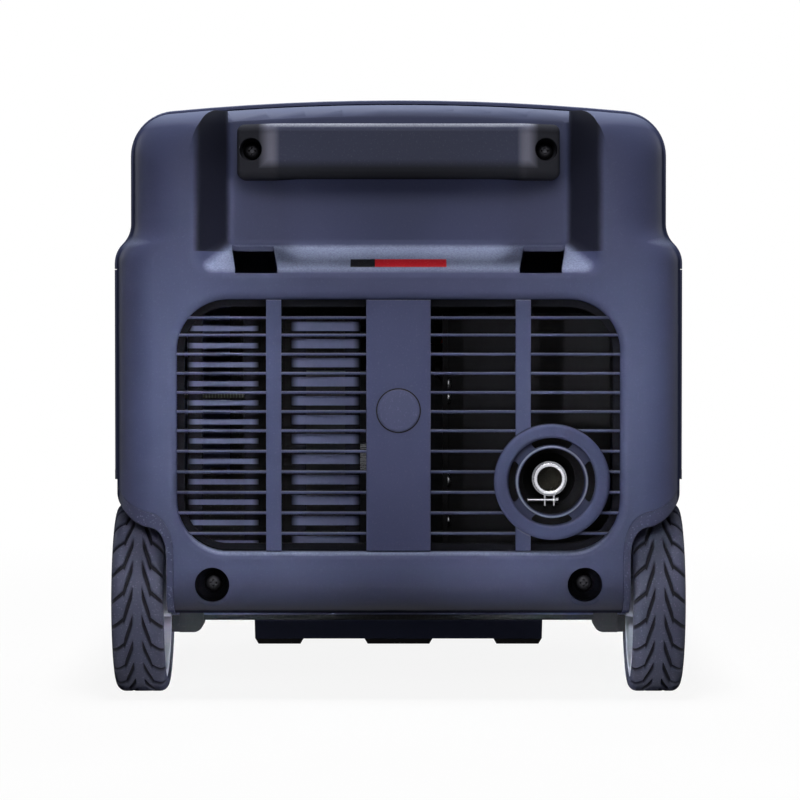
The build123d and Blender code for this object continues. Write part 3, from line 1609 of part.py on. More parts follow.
with BuildPart() as dc_socket:
    rod_y(dc_x, socket_row, dc_bore + 2 * socket_wall, panel_face, panel_face + flange_proud)
    rod_y(dc_x, socket_row, dc_bore + socket_wall, panel_face - 2 * socket_depth, panel_face)
    rod_y(
        dc_x,
        socket_row,
        dc_bore,
        panel_face - 2 * socket_depth + socket_wall,
        panel_face + flange_proud,
        Mode.SUBTRACT,
    )
save(dc_socket, "dc_socket")

with BuildPart() as earth_terminal:
    rod_y(switch_x, socket_row, stud_radius, panel_back - panel_thick, panel_face + 2 * flange_proud)
    with BuildSketch(at_y(panel_face)):
        with Locations((switch_x, socket_row)):
            RegularPolygon(nut_radius, nut_sides)
    extrude(amount=-nut_high)
    with BuildSketch(at_y(panel_back)):
        with Locations((switch_x, socket_row)):
            RegularPolygon(nut_radius, nut_sides)
    extrude(amount=flange_proud)
save(earth_terminal, "earth_terminal")

with BuildPart() as indicator_lenses:
    for step in (-1, 0, 1):
        x = lens_x + step * lens_spacing
        rod_y(x, control_row, lens_radius, panel_back, panel_face + flange_proud)
    tips = indicator_lenses.edges().filter_by(GeomType.CIRCLE).group_by(Axis.Y)[-1]
    fillet(tips, flange_proud / 2)
save(indicator_lenses, "indicator_lenses")

# Engine switch, start button, economy rocker and breaker button
with BuildPart() as engine_switch:
    rod_y(switch_x, control_row, crank_radius / 2, panel_back - panel_thick, panel_face + fit_gap)
    rod_y(switch_x, control_row, switch_radius, panel_face + fit_gap, panel_face + flange_proud)
    with BuildSketch(at_y(panel_face + flange_proud)):
        with Locations((switch_x, control_row)):
            SlotOverall(2 * switch_radius - 2 * flange_proud, switch_bar, rotation=90)
    extrude(amount=-switch_rise)
save(engine_switch, "engine_switch")


def push_button(x, radius, travel):
    rod_y(x, control_row, radius, panel_back, panel_face + travel + button_rest)
    with Locations(Location((x, panel_back - fit_gap - button_flange / 2, control_row), (90, 0, 0))):
        Cylinder(radius + button_flange, button_flange)
    rod_y(x, control_row, radius, panel_back - fit_gap, panel_back)


with BuildPart() as start_button:
    push_button(start_x, start_radius, start_travel)
    fillet(start_button.edges().filter_by(GeomType.CIRCLE).sort_by(Axis.Y)[-1], button_round)
save(start_button, "start_button")

with BuildPart() as breaker_button:
    push_button(breaker_x, breaker_radius, breaker_travel)
    fillet(breaker_button.edges().filter_by(GeomType.CIRCLE).sort_by(Axis.Y)[-1], button_round)
save(breaker_button, "breaker_button")

rocker_y = (panel_back + panel_face) / 2
with BuildPart() as eco_rocker:
    rod_x(rocker_y, control_row, rocker_radius, -rocker_half, rocker_half)
    slab(
        -rocker_half,
        rocker_half,
        rocker_y - rocker_radius / 2,
        rocker_y + rocker_radius / 2,
        control_row - rocker_radius,
        control_row + rocker_radius,
        Mode.INTERSECT,
    )
save(eco_rocker, "eco_rocker")
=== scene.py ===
import json
import math

import bmesh
import bpy
from mathutils import Matrix, Vector


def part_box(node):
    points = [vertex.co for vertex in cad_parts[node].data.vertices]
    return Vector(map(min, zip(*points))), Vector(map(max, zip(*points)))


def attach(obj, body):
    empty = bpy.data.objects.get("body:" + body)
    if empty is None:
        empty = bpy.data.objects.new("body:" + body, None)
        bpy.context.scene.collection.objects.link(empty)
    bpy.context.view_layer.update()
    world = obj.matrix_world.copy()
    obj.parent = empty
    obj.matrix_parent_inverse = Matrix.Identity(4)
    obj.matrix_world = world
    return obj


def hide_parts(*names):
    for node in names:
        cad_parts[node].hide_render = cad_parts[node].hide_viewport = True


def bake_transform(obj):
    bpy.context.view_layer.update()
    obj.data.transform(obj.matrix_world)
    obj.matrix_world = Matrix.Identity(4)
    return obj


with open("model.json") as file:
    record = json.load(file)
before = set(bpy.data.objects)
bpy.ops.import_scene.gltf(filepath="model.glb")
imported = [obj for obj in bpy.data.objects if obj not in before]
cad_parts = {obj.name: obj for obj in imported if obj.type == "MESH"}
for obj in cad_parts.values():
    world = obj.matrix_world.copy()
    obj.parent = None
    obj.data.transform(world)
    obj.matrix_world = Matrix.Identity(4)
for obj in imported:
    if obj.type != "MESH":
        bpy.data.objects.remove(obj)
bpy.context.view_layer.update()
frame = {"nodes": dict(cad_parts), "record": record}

cadNodes = frame["nodes"]
mm = 0.001
print("frame loaded:", len(cadNodes), "nodes")


# Node helpers: a value is a plain number or colour, or another node's output

def screenColour(red, green, blue):  # eight-bit screen values to linear light
    def linear(value):
        value /= 255
        return value / 12.92 if value <= 0.04045 else ((value + 0.055) / 1.055) ** 2.4

    return (linear(red), linear(green), linear(blue), 1.0)


def feed(tree, node, values):
    for name, value in values.items():
        if isinstance(value, bpy.types.NodeSocket):
            tree.links.new(value, node.inputs[name])
        else:
            node.inputs[name].default_value = value


def addNode(tree, kind, values=None, **settings):
    node = tree.nodes.new(kind)
    for name, value in settings.items():
        setattr(node, name, value)
    feed(tree, node, values or {})
    return node


def mathNode(tree, operation, first, second=None, clamp=False):
    values = {0: first} if second is None else {0: first, 1: second}
    return addNode(tree, "ShaderNodeMath", values, operation=operation, use_clamp=clamp).outputs[0]


def product(tree, first, *others):
    for other in others:
        first = mathNode(tree, "MULTIPLY", first, other)
    return first


def rangeNode(tree, value, low, high, newLow=0.0, newHigh=1.0):
    values = {"Value": value, "From Min": low, "From Max": high, "To Min": newLow, "To Max": newHigh}
    return addNode(tree, "ShaderNodeMapRange", values, clamp=True).outputs["Result"]


def mixColours(tree, factor, first, second):  # a triple is a colour in screen values
    def paint(colour):
        return screenColour(*colour) if isinstance(colour, tuple) and len(colour) == 3 else colour

    values = {0: factor, 6: paint(first), 7: paint(second)}
    return addNode(tree, "ShaderNodeMix", values, data_type="RGBA").outputs[2]


def axesOf(tree, vector):
    return addNode(tree, "ShaderNodeSeparateXYZ", {0: vector}).outputs


def joinAxes(tree, parts):
    return addNode(tree, "ShaderNodeCombineXYZ", parts).outputs[0]


def objectPlace(tree):
    return addNode(tree, "ShaderNodeTexCoord").outputs["Object"]


# Mesh helpers

def addObject(name, data):
    item = bpy.data.objects.new(name, data)
    bpy.context.scene.collection.objects.link(item)
    return item


def meshPiece(name, points, faces, material):
    mesh = bpy.data.meshes.new(name)
    mesh.from_pydata([tuple(point) for point in points], [], faces)
    mesh.materials.append(material)
    return addObject(name, mesh)


def outwardFaces(piece, weld=0.0):  # with a weld distance, doubles are merged and holes closed first
    work = bmesh.new()
    work.from_mesh(piece.data)
    if weld:
        bmesh.ops.remove_doubles(work, verts=work.verts, dist=weld)
        bmesh.ops.holes_fill(work, edges=work.edges)
    bmesh.ops.recalc_face_normals(work, faces=work.faces)
    work.to_mesh(piece.data)
    work.free()


def soften(piece, width, segments):
    bevel = piece.modifiers.new("soften", "BEVEL")
    bevel.width = width * mm
    bevel.segments = segments


def place(piece, body, slotName, *replaced):
    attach(piece, body)
    if replaced:
        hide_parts(*replaced)


# Stage: camera at the photograph's angle, soft boxes, pale floor and white background

cameraSetup = {
    "place": (0.0, -3.0, 0.312), "lens": 156.6, "sensor": 36.0, "farthest": 100,
    "pitchDown": 1.647, "yawRight": 0.025,
}
beam = {"size": (0.05, 0.05), "spread": 8.2}
wheelFill = {"size": (0.06, 0.06), "power": 0.06, "spread": 5.0}
sideStrip = {"size": (0.5, 1.3), "power": 14}
softBoxes = {  # beams and fills cross over, each lighting the far side
    "frontBox": {"place": (-0.1, -3.7, 1.5), "aim": (0, -0.3, 0.28), "size": (1.2, 1.0), "power": 42},
    "leftBeam": beam | {"place": (1.2, -3.0, 0.24), "aim": (-0.19, -0.3, 0.245), "power": 0.215},
    "rightBeam": beam | {"place": (-1.2, -3.0, 0.24), "aim": (0.185, -0.3, 0.245), "power": 0.185},
    "topBox": {"place": (0.0, -0.42, 2.2), "aim": (0, -0.2, 0.4), "size": (0.25, 0.7), "power": 36},
    "leftWheelFill": wheelFill | {"place": (1.4, -2.2, 0.14), "aim": (-0.18, -0.2, 0.035)},
    "rightWheelFill": wheelFill | {"place": (-1.4, -2.2, 0.14), "aim": (0.18, -0.2, 0.035)},
    "leftStrip": sideStrip | {"place": (-2.6, 2.0, 1.1), "aim": (-0.22, 0.05, 0.3)},
    "rightStrip": sideStrip | {"place": (2.6, 2.0, 1.1), "aim": (0.22, 0.05, 0.3)},
    "sideBox": {"place": (1.7, -0.2, 1.9), "aim": (0.2, -0.26, 0.43), "size": (0.4, 0.4), "power": 1.5},
    "backBox": {"place": (0.4, 3.6, 1.5), "aim": (0, 0.3, 0.28), "size": (1.2, 1.0), "power": 60},
}
studio = {
    "roomLight": 0.03, "floorSize": 24.0, "floorGlow": 0.90, "clearFrom": 0.55, "clearTo": 1.5,
    "white": (1, 1, 1, 1), "seenFloor": (0.85, 0.85, 0.85, 1), "bounceFloor": (0.08, 0.08, 0.08, 1),
}


def backgroundRays(tree):  # camera, mirror and glass rays see the white backdrop
    path = addNode(tree, "ShaderNodeLightPath").outputs
    seen = mathNode(tree, "MAXIMUM", path["Is Camera Ray"], path["Is Glossy Ray"])
    return mathNode(tree, "MAXIMUM", seen, path["Is Transmission Ray"])


def chooseShader(tree, share, first, second, outputKind):
    choose = addNode(tree, "ShaderNodeMixShader", {0: share, 1: first.outputs[0], 2: second.outputs[0]})
    addNode(tree, outputKind, {"Surface": choose.outputs[0]})


def makeCamera():
    camera = bpy.data.cameras.new("photoCamera")
    camera.lens = cameraSetup["lens"]
    camera.sensor_width = cameraSetup["sensor"]
    camera.clip_end = cameraSetup["farthest"]
    seat = addObject("photoCamera", camera)
    seat.location = cameraSetup["place"]
    tilt = math.radians(90 - cameraSetup["pitchDown"])
    seat.rotation_euler = (tilt, 0, -math.radians(cameraSetup["yawRight"]))
    bpy.context.scene.camera = seat


def makeLights():
    for name, box in softBoxes.items():
        lamp = bpy.data.lights.new(name, "AREA")
        lamp.shape = "RECTANGLE"
        lamp.size, lamp.size_y = box["size"]
        lamp.energy = box["power"]
        lamp.spread = math.radians(box.get("spread", 180))
        seat = addObject(name, lamp)
        seat.location = box["place"]
        aim = Vector(box["aim"]) - Vector(box["place"])
        seat.rotation_euler = aim.to_track_quat("-Z", "Y").to_euler()


def makeWorld():
    world = bpy.data.worlds.new("studioWorld")
    world.use_nodes = True
    tree = world.node_tree
    tree.nodes.clear()
    white = addNode(tree, "ShaderNodeBackground", {"Color": studio["white"], "Strength": 1.0})
    room = addNode(tree, "ShaderNodeBackground", {"Color": studio["white"], "Strength": studio["roomLight"]})
    chooseShader(tree, backgroundRays(tree), room, white, "ShaderNodeOutputWorld")
    bpy.context.scene.world = world


def makeFloor():
    material = bpy.data.materials.new("paleFloor")
    material.use_nodes = True
    tree = material.node_tree
    tree.nodes.clear()
    seen = backgroundRays(tree)
    shade = mixColours(tree, seen, studio["bounceFloor"], studio["seenFloor"])
    paint = addNode(tree, "ShaderNodeBsdfDiffuse", {"Color": shade})
    glow = addNode(tree, "ShaderNodeEmission", {"Color": studio["white"], "Strength": 1.0})
    away = addNode(tree, "ShaderNodeVectorMath", {0: objectPlace(tree)}, operation="LENGTH").outputs["Value"]
    glowShare = rangeNode(tree, away, studio["clearFrom"], studio["clearTo"], studio["floorGlow"], 1.0)
    chooseShader(tree, product(tree, seen, glowShare), paint, glow, "ShaderNodeOutputMaterial")
    half = studio["floorSize"] / 2
    corners = [(-half, -half, 0), (half, -half, 0), (half, half, 0), (-half, half, 0)]
    meshPiece("studioFloor", corners, [(0, 1, 2, 3)], material)


makeCamera()
makeLights()
makeWorld()
makeFloor()
bpy.context.scene.view_settings.view_transform = "Standard"
print("stage ready")


# Shared finish effects

def startGroup(name, inputs, outputs):
    group = bpy.data.node_groups.new(name, "ShaderNodeTree")
    for label, value in inputs.items():
        socket = group.interface.new_socket(label, in_out="INPUT", socket_type="NodeSocketFloat")
        socket.default_value = value
    for label in outputs:
        kind = "NodeSocketVector" if label == "Normal" else "NodeSocketFloat"
        group.interface.new_socket(label, in_out="OUTPUT", socket_type=kind)
    return group, group.nodes.new("NodeGroupInput").outputs, group.nodes.new("NodeGroupOutput")


def objectNoise(tree, scale, detail, stretch=None):
    spot = objectPlace(tree)
    if stretch:
        spot = addNode(tree, "ShaderNodeMapping", {"Vector": spot, "Scale": stretch}).outputs["Vector"]
    values = {"Vector": spot, "Scale": scale, "Detail": detail}
    return addNode(tree, "ShaderNodeTexNoise", values).outputs["Fac"]


def surfaceNormal(tree):
    return addNode(tree, "ShaderNodeNewGeometry").outputs["Normal"]


def makeMouldGrain():
    sizes = {"Grain Scale": 1500.0, "Cloud Scale": 9.0}
    group, given, target = startGroup("mouldGrain", sizes, ("Grain", "Cloud", "Speckle"))
    cloud = objectNoise(group, given["Cloud Scale"], 4.0)
    fleck = objectNoise(group, product(group, given["Grain Scale"], 0.45), 1.0)
    feed(group, target, {
        "Grain": objectNoise(group, given["Grain Scale"], 2.0),
        "Cloud": rangeNode(group, cloud, 0.3, 0.7),
        "Speckle": rangeNode(group, fleck, 0.62, 0.72),
    })
    return group


def makeEdgeWear():  # where the rounded normal turns away from the true one
    group, given, target = startGroup("edgeWear", {"Radius": 0.0009, "Breakup": 90.0}, ("Mask", "Normal"))
    rounded = addNode(group, "ShaderNodeBevel", {"Radius": given["Radius"]}, samples=4).outputs["Normal"]
    pair = {0: rounded, 1: surfaceNormal(group)}
    alike = addNode(group, "ShaderNodeVectorMath", pair, operation="DOT_PRODUCT").outputs["Value"]
    edge = rangeNode(group, mathNode(group, "SUBTRACT", 1.0, alike), 0.03, 0.25)
    patch = rangeNode(group, objectNoise(group, given["Breakup"], 3.0), 0.35, 0.65)
    feed(group, target, {"Mask": product(group, edge, patch), "Normal": rounded})
    return group


def makeDustAndTopLight():  # patchy mask on what faces up: dust, and painted top light where a finish gives it a pale plastic tone
    group, given, target = startGroup("dustAndTopLight", {"Amount": 0.3, "Patch Scale": 14.0}, ("Mask",))
    facing = rangeNode(group, axesOf(group, surfaceNormal(group))["Z"], 0.45, 0.85)
    patch = rangeNode(group, objectNoise(group, given["Patch Scale"], 5.0), 0.3, 0.7, 0.6, 1.0)
    fine = rangeNode(group, objectNoise(group, 700.0, 1.0), 0.35, 0.7, 0.6, 1.0)
    feed(group, target, {"Mask": product(group, facing, patch, fine, given["Amount"])})
    return group


def makeBrushLines():
    group, given, target = startGroup("brushLines", {"Line Scale": 60.0}, ("Lines", "Stain"))
    feed(group, target, {
        "Lines": objectNoise(group, given["Line Scale"], 3.0, (1.0, 30.0, 30.0)),
        "Stain": rangeNode(group, objectNoise(group, 22.0, 5.0), 0.35, 0.7),
    })
    return group


mouldGrain = makeMouldGrain()
edgeWear = makeEdgeWear()
dustAndTopLight = makeDustAndTopLight()
brushLines = makeBrushLines()


def useGroup(tree, group, values):
    return addNode(tree, "ShaderNodeGroup", values, node_tree=group).outputs


def startMaterial(name, constants):
    material = bpy.data.materials.new(name)
    material.use_nodes = True
    tree = material.node_tree
    shader = tree.nodes["Principled BSDF"]
    feed(tree, shader, constants)
    return material, tree, shader


def bumpOver(tree, shader, height, depth, normal=None):
    values = {"Strength": 1.0, "Distance": depth * mm, "Height": height}
    if normal is not None:
        values["Normal"] = normal
    feed(tree, shader, {"Normal": addNode(tree, "ShaderNodeBump", values).outputs["Normal"]})


# Masks of the marks on single pieces, in millimetres of the object's frame

outletAxis = (119.5, 170.5)
wellSpot = (145.0, 90.5)


def zone(tree, value, ends, low=0.0, high=1.0):
    return rangeNode(tree, value, ends[0] * mm, ends[1] * mm, low, high)


def axisReach(tree, x, z, axis):  # distance from an axis along Y
    values = {0: joinAxes(tree, {"X": x, "Z": z}), 1: (axis[0] * mm, 0, axis[1] * mm)}
    return addNode(tree, "ShaderNodeVectorMath", values, operation="DISTANCE").outputs["Value"]


def edgeHighlightAndShade(tree, look, normal):  # thin bars: painted highlight on the upper edge, painted shade on the lower edge
    rise = axesOf(tree, normal)["Z"]
    paintedHighlight = rangeNode(tree, rise, 0.05, 0.4, 0.0, look["edgeHighlight"])
    paintedShade = rangeNode(tree, rise, -0.03, -0.3, 0.0, 0.9)
    return [(paintedHighlight, look["worn"]), (paintedShade, look["shadeTone"])]


def shadedStripEnds(tree, spot, strips):  # painted shade on all but the middle of each strip
    unshaded = None
    for left, right in strips["spans"]:
        rising = zone(tree, spot["X"], (left, left + strips["fade"]))
        falling = zone(tree, spot["X"], (right - strips["fade"], right), 1.0, 0.0)
        middle = product(tree, rising, falling)
        unshaded = middle if unshaded is None else mathNode(tree, "MAXIMUM", unshaded, middle)
    return mathNode(tree, "SUBTRACT", 1.0, unshaded)


def rimHighlight(tree, spot, rim):  # painted highlight on the front edge of the outlet ring
    reach = axisReach(tree, spot["X"], spot["Z"], outletAxis)
    outside = mathNode(tree, "GREATER_THAN", reach, rim["radii"][0] * mm)
    inside = mathNode(tree, "LESS_THAN", reach, rim["radii"][1] * mm)
    ahead = mathNode(tree, "LESS_THAN", spot["Y"], rim["front"] * mm)
    return product(tree, outside, inside, ahead, rim["share"])


def ledgeAndCrownLight(tree, spot, dustAndLitTops, crown):  # the dust and painted top light stay on the ledges, and a painted highlight band follows the crown
    dustAndLitTops = product(tree, dustAndLitTops, mathNode(tree, "LESS_THAN", spot["Z"], crown["dustTop"] * mm))
    bow = mathNode(tree, "DIVIDE", product(tree, spot["X"], spot["X"]), 2 * crown["radius"] * mm)
    band = zone(tree, mathNode(tree, "ADD", spot["Z"], bow), crown["band"], 0.0, crown["share"])
    return mathNode(tree, "MAXIMUM", dustAndLitTops, band)


def shadedAlcoveWalls(tree, spot, alcove):  # painted shade on the side walls of the handle recess
    sideways = mathNode(tree, "ABSOLUTE", axesOf(tree, surfaceNormal(tree))["X"])
    walls = rangeNode(tree, sideways, 0.3, 0.8, 0.0, alcove["share"])
    within = mathNode(tree, "LESS_THAN", mathNode(tree, "ABSOLUTE", spot["X"]), alcove["halfWidth"] * mm)
    above = mathNode(tree, "GREATER_THAN", spot["Z"], alcove["floor"] * mm)
    return product(tree, walls, within, above)


def shadedWells(tree, spot, wells):  # painted shade deep in the two round screw wells
    reach = axisReach(tree, mathNode(tree, "ABSOLUTE", spot["X"]), spot["Z"], wellSpot)
    inside = mathNode(tree, "LESS_THAN", reach, wells["radius"] * mm)
    return product(tree, inside, zone(tree, spot["Y"], wells["deep"], 0.0, wells["share"]))


def barHighlightAndShade(tree, spot, ends):  # painted highlight before the bevelled ends, painted shade round the screws and below
    away = mathNode(tree, "ABSOLUTE", spot["X"])
    low = zone(tree, spot["Z"], ends["top"], 1.0, 0.2)
    barHighlight = product(tree, zone(tree, away, ends["pale"], 0.0, ends["paleShare"]), low)
    outer = zone(tree, away, ends["dark"], 0.0, ends["darkShare"])
    under = zone(tree, spot["Z"], ends["under"], ends["darkShare"], 0.0)
    return barHighlight, mathNode(tree, "MAXIMUM", outer, under)


# Finishes

mouldedDefaults = {  # used where a finish below gives no value of its own
    "grainScale": 1500.0, "cloudScale": 9.0, "grainDepth": 0.05, "fleck": 0.25,
    "edge": 0.9 * mm, "breakup": 90.0, "wear": 0.5,
    "dust": 0.12, "patchScale": 14.0, "bloom": (150, 148, 142), "dustRough": 0.5,
    "gloss": 0.12, "glance": (0.3, 0.72), "roughSwing": 0.05,
}
metalDefaults = {
    "metal": 1.0, "gloss": 0.5, "lineScale": 60.0, "lineDepth": 0.02,
    "edge": 0.5 * mm, "breakup": 120.0, "wear": 0.7, "roughSwing": 0.1,
}


def mouldedFinish(name, look):  # plastic and rubber: moulded grain, scuffed edges, dust and painted top light, and the painted shade and highlights below
    look = mouldedDefaults | look
    material, tree, shader = startMaterial(name, {})
    grain = useGroup(tree, mouldGrain, {"Grain Scale": look["grainScale"], "Cloud Scale": look["cloudScale"]})
    wear = useGroup(tree, edgeWear, {"Radius": look["edge"], "Breakup": look["breakup"]})
    dust = useGroup(tree, dustAndTopLight, {"Amount": look["dust"], "Patch Scale": look["patchScale"]})
    spot = axesOf(tree, objectPlace(tree))
    angle = {"Blend": 0.5, "Normal": wear["Normal"]}
    glance = addNode(tree, "ShaderNodeLayerWeight", angle).outputs["Facing"]
    gloss = rangeNode(tree, glance, *look["glance"], look["gloss"], 0.0)  # no shine at a glance

    coats = [  # masks with their colours, in the order they are laid on
        (product(tree, grain["Speckle"], look["fleck"]), look["worn"]),
        (product(tree, wear["Mask"], look["wear"]), look["worn"]),
    ]
    dulled = []
    # painted highlight on the upper bar edges, painted shade on the lower ones
    if "edgeHighlight" in look:
        coats += edgeHighlightAndShade(tree, look, wear["Normal"])
    # painted shade at the ends of the strips
    if "strips" in look:
        coats.append((shadedStripEnds(tree, spot, look["strips"]), look["shadeTone"]))
    if "depth" in look:  # painted shade thickens from one distance along Y to the other
        depth = look["depth"]
        coats.append((zone(tree, spot["Y"], depth["ends"], 0.0, depth["share"]), look["shadeTone"]))
    # painted highlight round the front rim
    if "rim" in look:
        coats.append((rimHighlight(tree, spot, look["rim"]), look["rim"]["colour"]))
    # dust and painted top light, with a painted highlight band along the crown
    dustAndLitTops = ledgeAndCrownLight(tree, spot, dust["Mask"], look["crown"]) if "crown" in look else dust["Mask"]
    coats.append((dustAndLitTops, look["bloom"]))
    # painted shade on the recess walls
    if "alcove" in look:
        coats.append((shadedAlcoveWalls(tree, spot, look["alcove"]), look["grime"]))
    if "bottomShade" in look:  # painted shade thickens towards the bottom edge
        bottomShade = look["bottomShade"]
        coats.append((zone(tree, spot["Z"], bottomShade["ends"], bottomShade["share"], 0.0), look["grime"]))
    # painted shade in the screw wells, with the gloss taken off
    if "wells" in look:
        dulled.append(shadedWells(tree, spot, look["wells"]))
        coats.append((dulled[-1], look["wells"]["colour"]))
    # painted highlight and painted shade on the bar
    if "barEnds" in look:
        barHighlight, dark = barHighlightAndShade(tree, spot, look["barEnds"])
        dulled.append(dark)
        coats += [(barHighlight, look["worn"]), (dark, look["barEnds"]["colour"])]
    if "sunk" in look:  # painted shade on the floors of the tread grooves
        floor = addNode(tree, "ShaderNodeAttribute", attribute_name="sunk").outputs["Fac"]
        coats.append((rangeNode(tree, floor, 0.1, 0.8, 0.0, 0.9), look["sunk"]))

    body = mixColours(tree, grain["Cloud"], look["deep"], look["pale"])
    for mask, colour in coats:
        body = mixColours(tree, mask, body, colour)
    for mask in dulled:
        gloss = product(tree, gloss, mathNode(tree, "SUBTRACT", 1.0, mask))
    smooth, coarse = look["rough"] - look["roughSwing"], look["rough"] + look["roughSwing"]
    sheen = rangeNode(tree, grain["Cloud"], 0.0, 1.0, smooth, coarse)
    rougher = mathNode(tree, "ADD", sheen, product(tree, dust["Mask"], look["dustRough"]), clamp=True)
    feed(tree, shader, {"Specular IOR Level": gloss, "Base Color": body, "Roughness": rougher})
    bumpOver(tree, shader, grain["Grain"], look["grainDepth"], wear["Normal"])
    return material


def metalFinish(name, look):  # bare or painted metal: brushed lines, stains, bright edges
    look = metalDefaults | look
    constants = {"Metallic": look["metal"], "Specular IOR Level": look["gloss"]}
    material, tree, shader = startMaterial(name, constants)
    brush = useGroup(tree, brushLines, {"Line Scale": look["lineScale"]})
    wear = useGroup(tree, edgeWear, {"Radius": look["edge"], "Breakup": look["breakup"]})
    body = mixColours(tree, brush["Stain"], look["deep"], look["pale"])
    body = mixColours(tree, product(tree, wear["Mask"], look["wear"]), body, look["worn"])
    smooth, coarse = look["rough"] - look["roughSwing"], look["rough"] + look["roughSwing"]
    sheen = rangeNode(tree, brush["Lines"], 0.3, 0.7, smooth, coarse)
    feed(tree, shader, {"Base Color": body, "Roughness": sheen})
    bumpOver(tree, shader, brush["Lines"], look["lineDepth"], wear["Normal"])
    return material


def lensFinish(name, look):  # three lenses in one piece: colour by their place across the panel
    material, tree, shader = startMaterial(name, {"Specular IOR Level": 0.6, "Coat Weight": 0.5})
    across = axesOf(tree, objectPlace(tree))["X"]
    low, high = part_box("indicator_lenses")
    width = (high.x - low.x) / len(look["colours"])
    body = look["colours"][0]
    for step, colour in enumerate(look["colours"][1:], 1):
        body = mixColours(tree, mathNode(tree, "GREATER_THAN", across, low.x + step * width), body, colour)
    values = {"Vector": objectPlace(tree), "Scale": look["facetScale"]}
    facets = addNode(tree, "ShaderNodeTexVoronoi", values).outputs["Distance"]
    body = mixColours(tree, rangeNode(tree, facets, 0.0, 0.8, 0.0, 0.35), body, look["facetEdge"])
    feed(tree, shader, {"Base Color": body, "Roughness": rangeNode(tree, facets, 0.0, 0.8, 0.12, 0.22)})
    bumpOver(tree, shader, facets, look["facetDepth"])
    return material


def ropeFinish(name, look):  # braided cord: two crossing diagonal waves
    material, tree, shader = startMaterial(name, {"Specular IOR Level": 0.2, "Sheen Weight": 0.3})
    waves = []
    for lean in (look["lean"], -look["lean"]):
        turned = {"Vector": objectPlace(tree), "Rotation": (0, 0, math.radians(lean))}
        spot = addNode(tree, "ShaderNodeMapping", turned).outputs["Vector"]
        values = {"Vector": spot, "Scale": look["braidScale"], "Distortion": 0.4}
        waves.append(addNode(tree, "ShaderNodeTexWave", values).outputs["Fac"])
    braid = product(tree, *waves)
    body = mixColours(tree, braid, look["deep"], look["pale"])
    feed(tree, shader, {"Base Color": body, "Roughness": rangeNode(tree, braid, 0, 1, 0.75, 0.9)})
    bumpOver(tree, shader, braid, look["braidDepth"])
    return material


def tones(deep, pale, worn, rough, **more):
    return {"deep": deep, "pale": pale, "worn": worn, "rough": rough} | more


mouldedLooks = {
    # dust at 0.8 in a pale blue-grey: painted top light on ledges and tops
    "case_plastic": tones((62, 67, 96), (69, 74, 104), (96, 101, 130), 0.46,
                          dust=0.8, fleck=0.1, bloom=(152, 162, 190)),
    "grille_plastic": tones((69, 74, 104), (76, 81, 112), (104, 109, 140), 0.44),
    # dust at 0.7 in a pale tone: painted highlight on upward edges
    "handle_plastic": tones((48, 52, 74), (54, 58, 81), (88, 92, 120), 0.40, dust=0.7, bloom=(190, 195, 210)),
    "arch_liner": tones((56, 60, 84), (64, 68, 94), (120, 123, 150), 0.34, fleck=0.4, grainDepth=0.10),
    "panel_plastic": tones((26, 27, 31), (31, 32, 37), (78, 80, 90), 0.42),
    "vent_plastic": tones((46, 47, 53), (54, 55, 62), (100, 101, 108), 0.45),
    "start_plastic": tones((140, 20, 18), (158, 26, 22), (190, 90, 84), 0.3),
    # the sunk tone is painted shade for the groove floors
    "tyre": tones((66, 69, 88), (80, 83, 104), (124, 127, 150), 0.55, fleck=0.3, grainDepth=0.10,
                  edge=0.5 * mm, dust=0.0, sunk=(14, 14, 17)),
    "rim_plastic": tones((172, 175, 192), (184, 187, 203), (205, 207, 218), 0.42),
    "foot_rubber": tones((26, 26, 28), (34, 34, 36), (70, 70, 72), 0.7),
    "inner_plastic": tones((30, 30, 33), (38, 38, 42), (80, 80, 84), 0.5),
    "plug_ceramic": tones((206, 204, 196), (222, 220, 212), (230, 229, 224), 0.2),
}
metalLooks = {
    "screw_steel": tones((46, 46, 50), (62, 62, 67), (120, 121, 126), 0.4),
    "tow_tube": tones((28, 29, 33), (36, 37, 42), (120, 121, 126), 0.38, metal=0.0),
    "exhaust_steel": tones((118, 114, 112), (150, 148, 150), (200, 199, 202), 0.36),
    # engine alloy darker than bare aluminium: painted shade inside the case
    "engine_alloy": tones((44, 45, 48), (60, 61, 65), (104, 105, 110), 0.6, metal=0.6, gloss=0.1),
    "crank_steel": tones((128, 129, 134), (160, 161, 166), (205, 206, 210), 0.25),
    "copper_winding": tones((142, 74, 40), (178, 100, 58), (210, 140, 96), 0.35),
}
lensLook = {
    "colours": ((170, 34, 28), (196, 132, 24), (44, 142, 62)),
    "facetScale": 900.0, "facetDepth": 0.15, "facetEdge": (0.01, 0.01, 0.01, 1),
}
ropeLook = {
    "deep": (120, 116, 106), "pale": (206, 202, 190),
    "braidScale": 140.0, "braidDepth": 0.4, "lean": 35,
}
slotMaterial = {slotName: mouldedFinish(slotName, look) for slotName, look in mouldedLooks.items()}
slotMaterial |= {slotName: metalFinish(slotName, look) for slotName, look in metalLooks.items()}
slotMaterial["lens"] = lensFinish("lens", lensLook)
slotMaterial["starter_rope"] = ropeFinish("starter_rope", ropeLook)

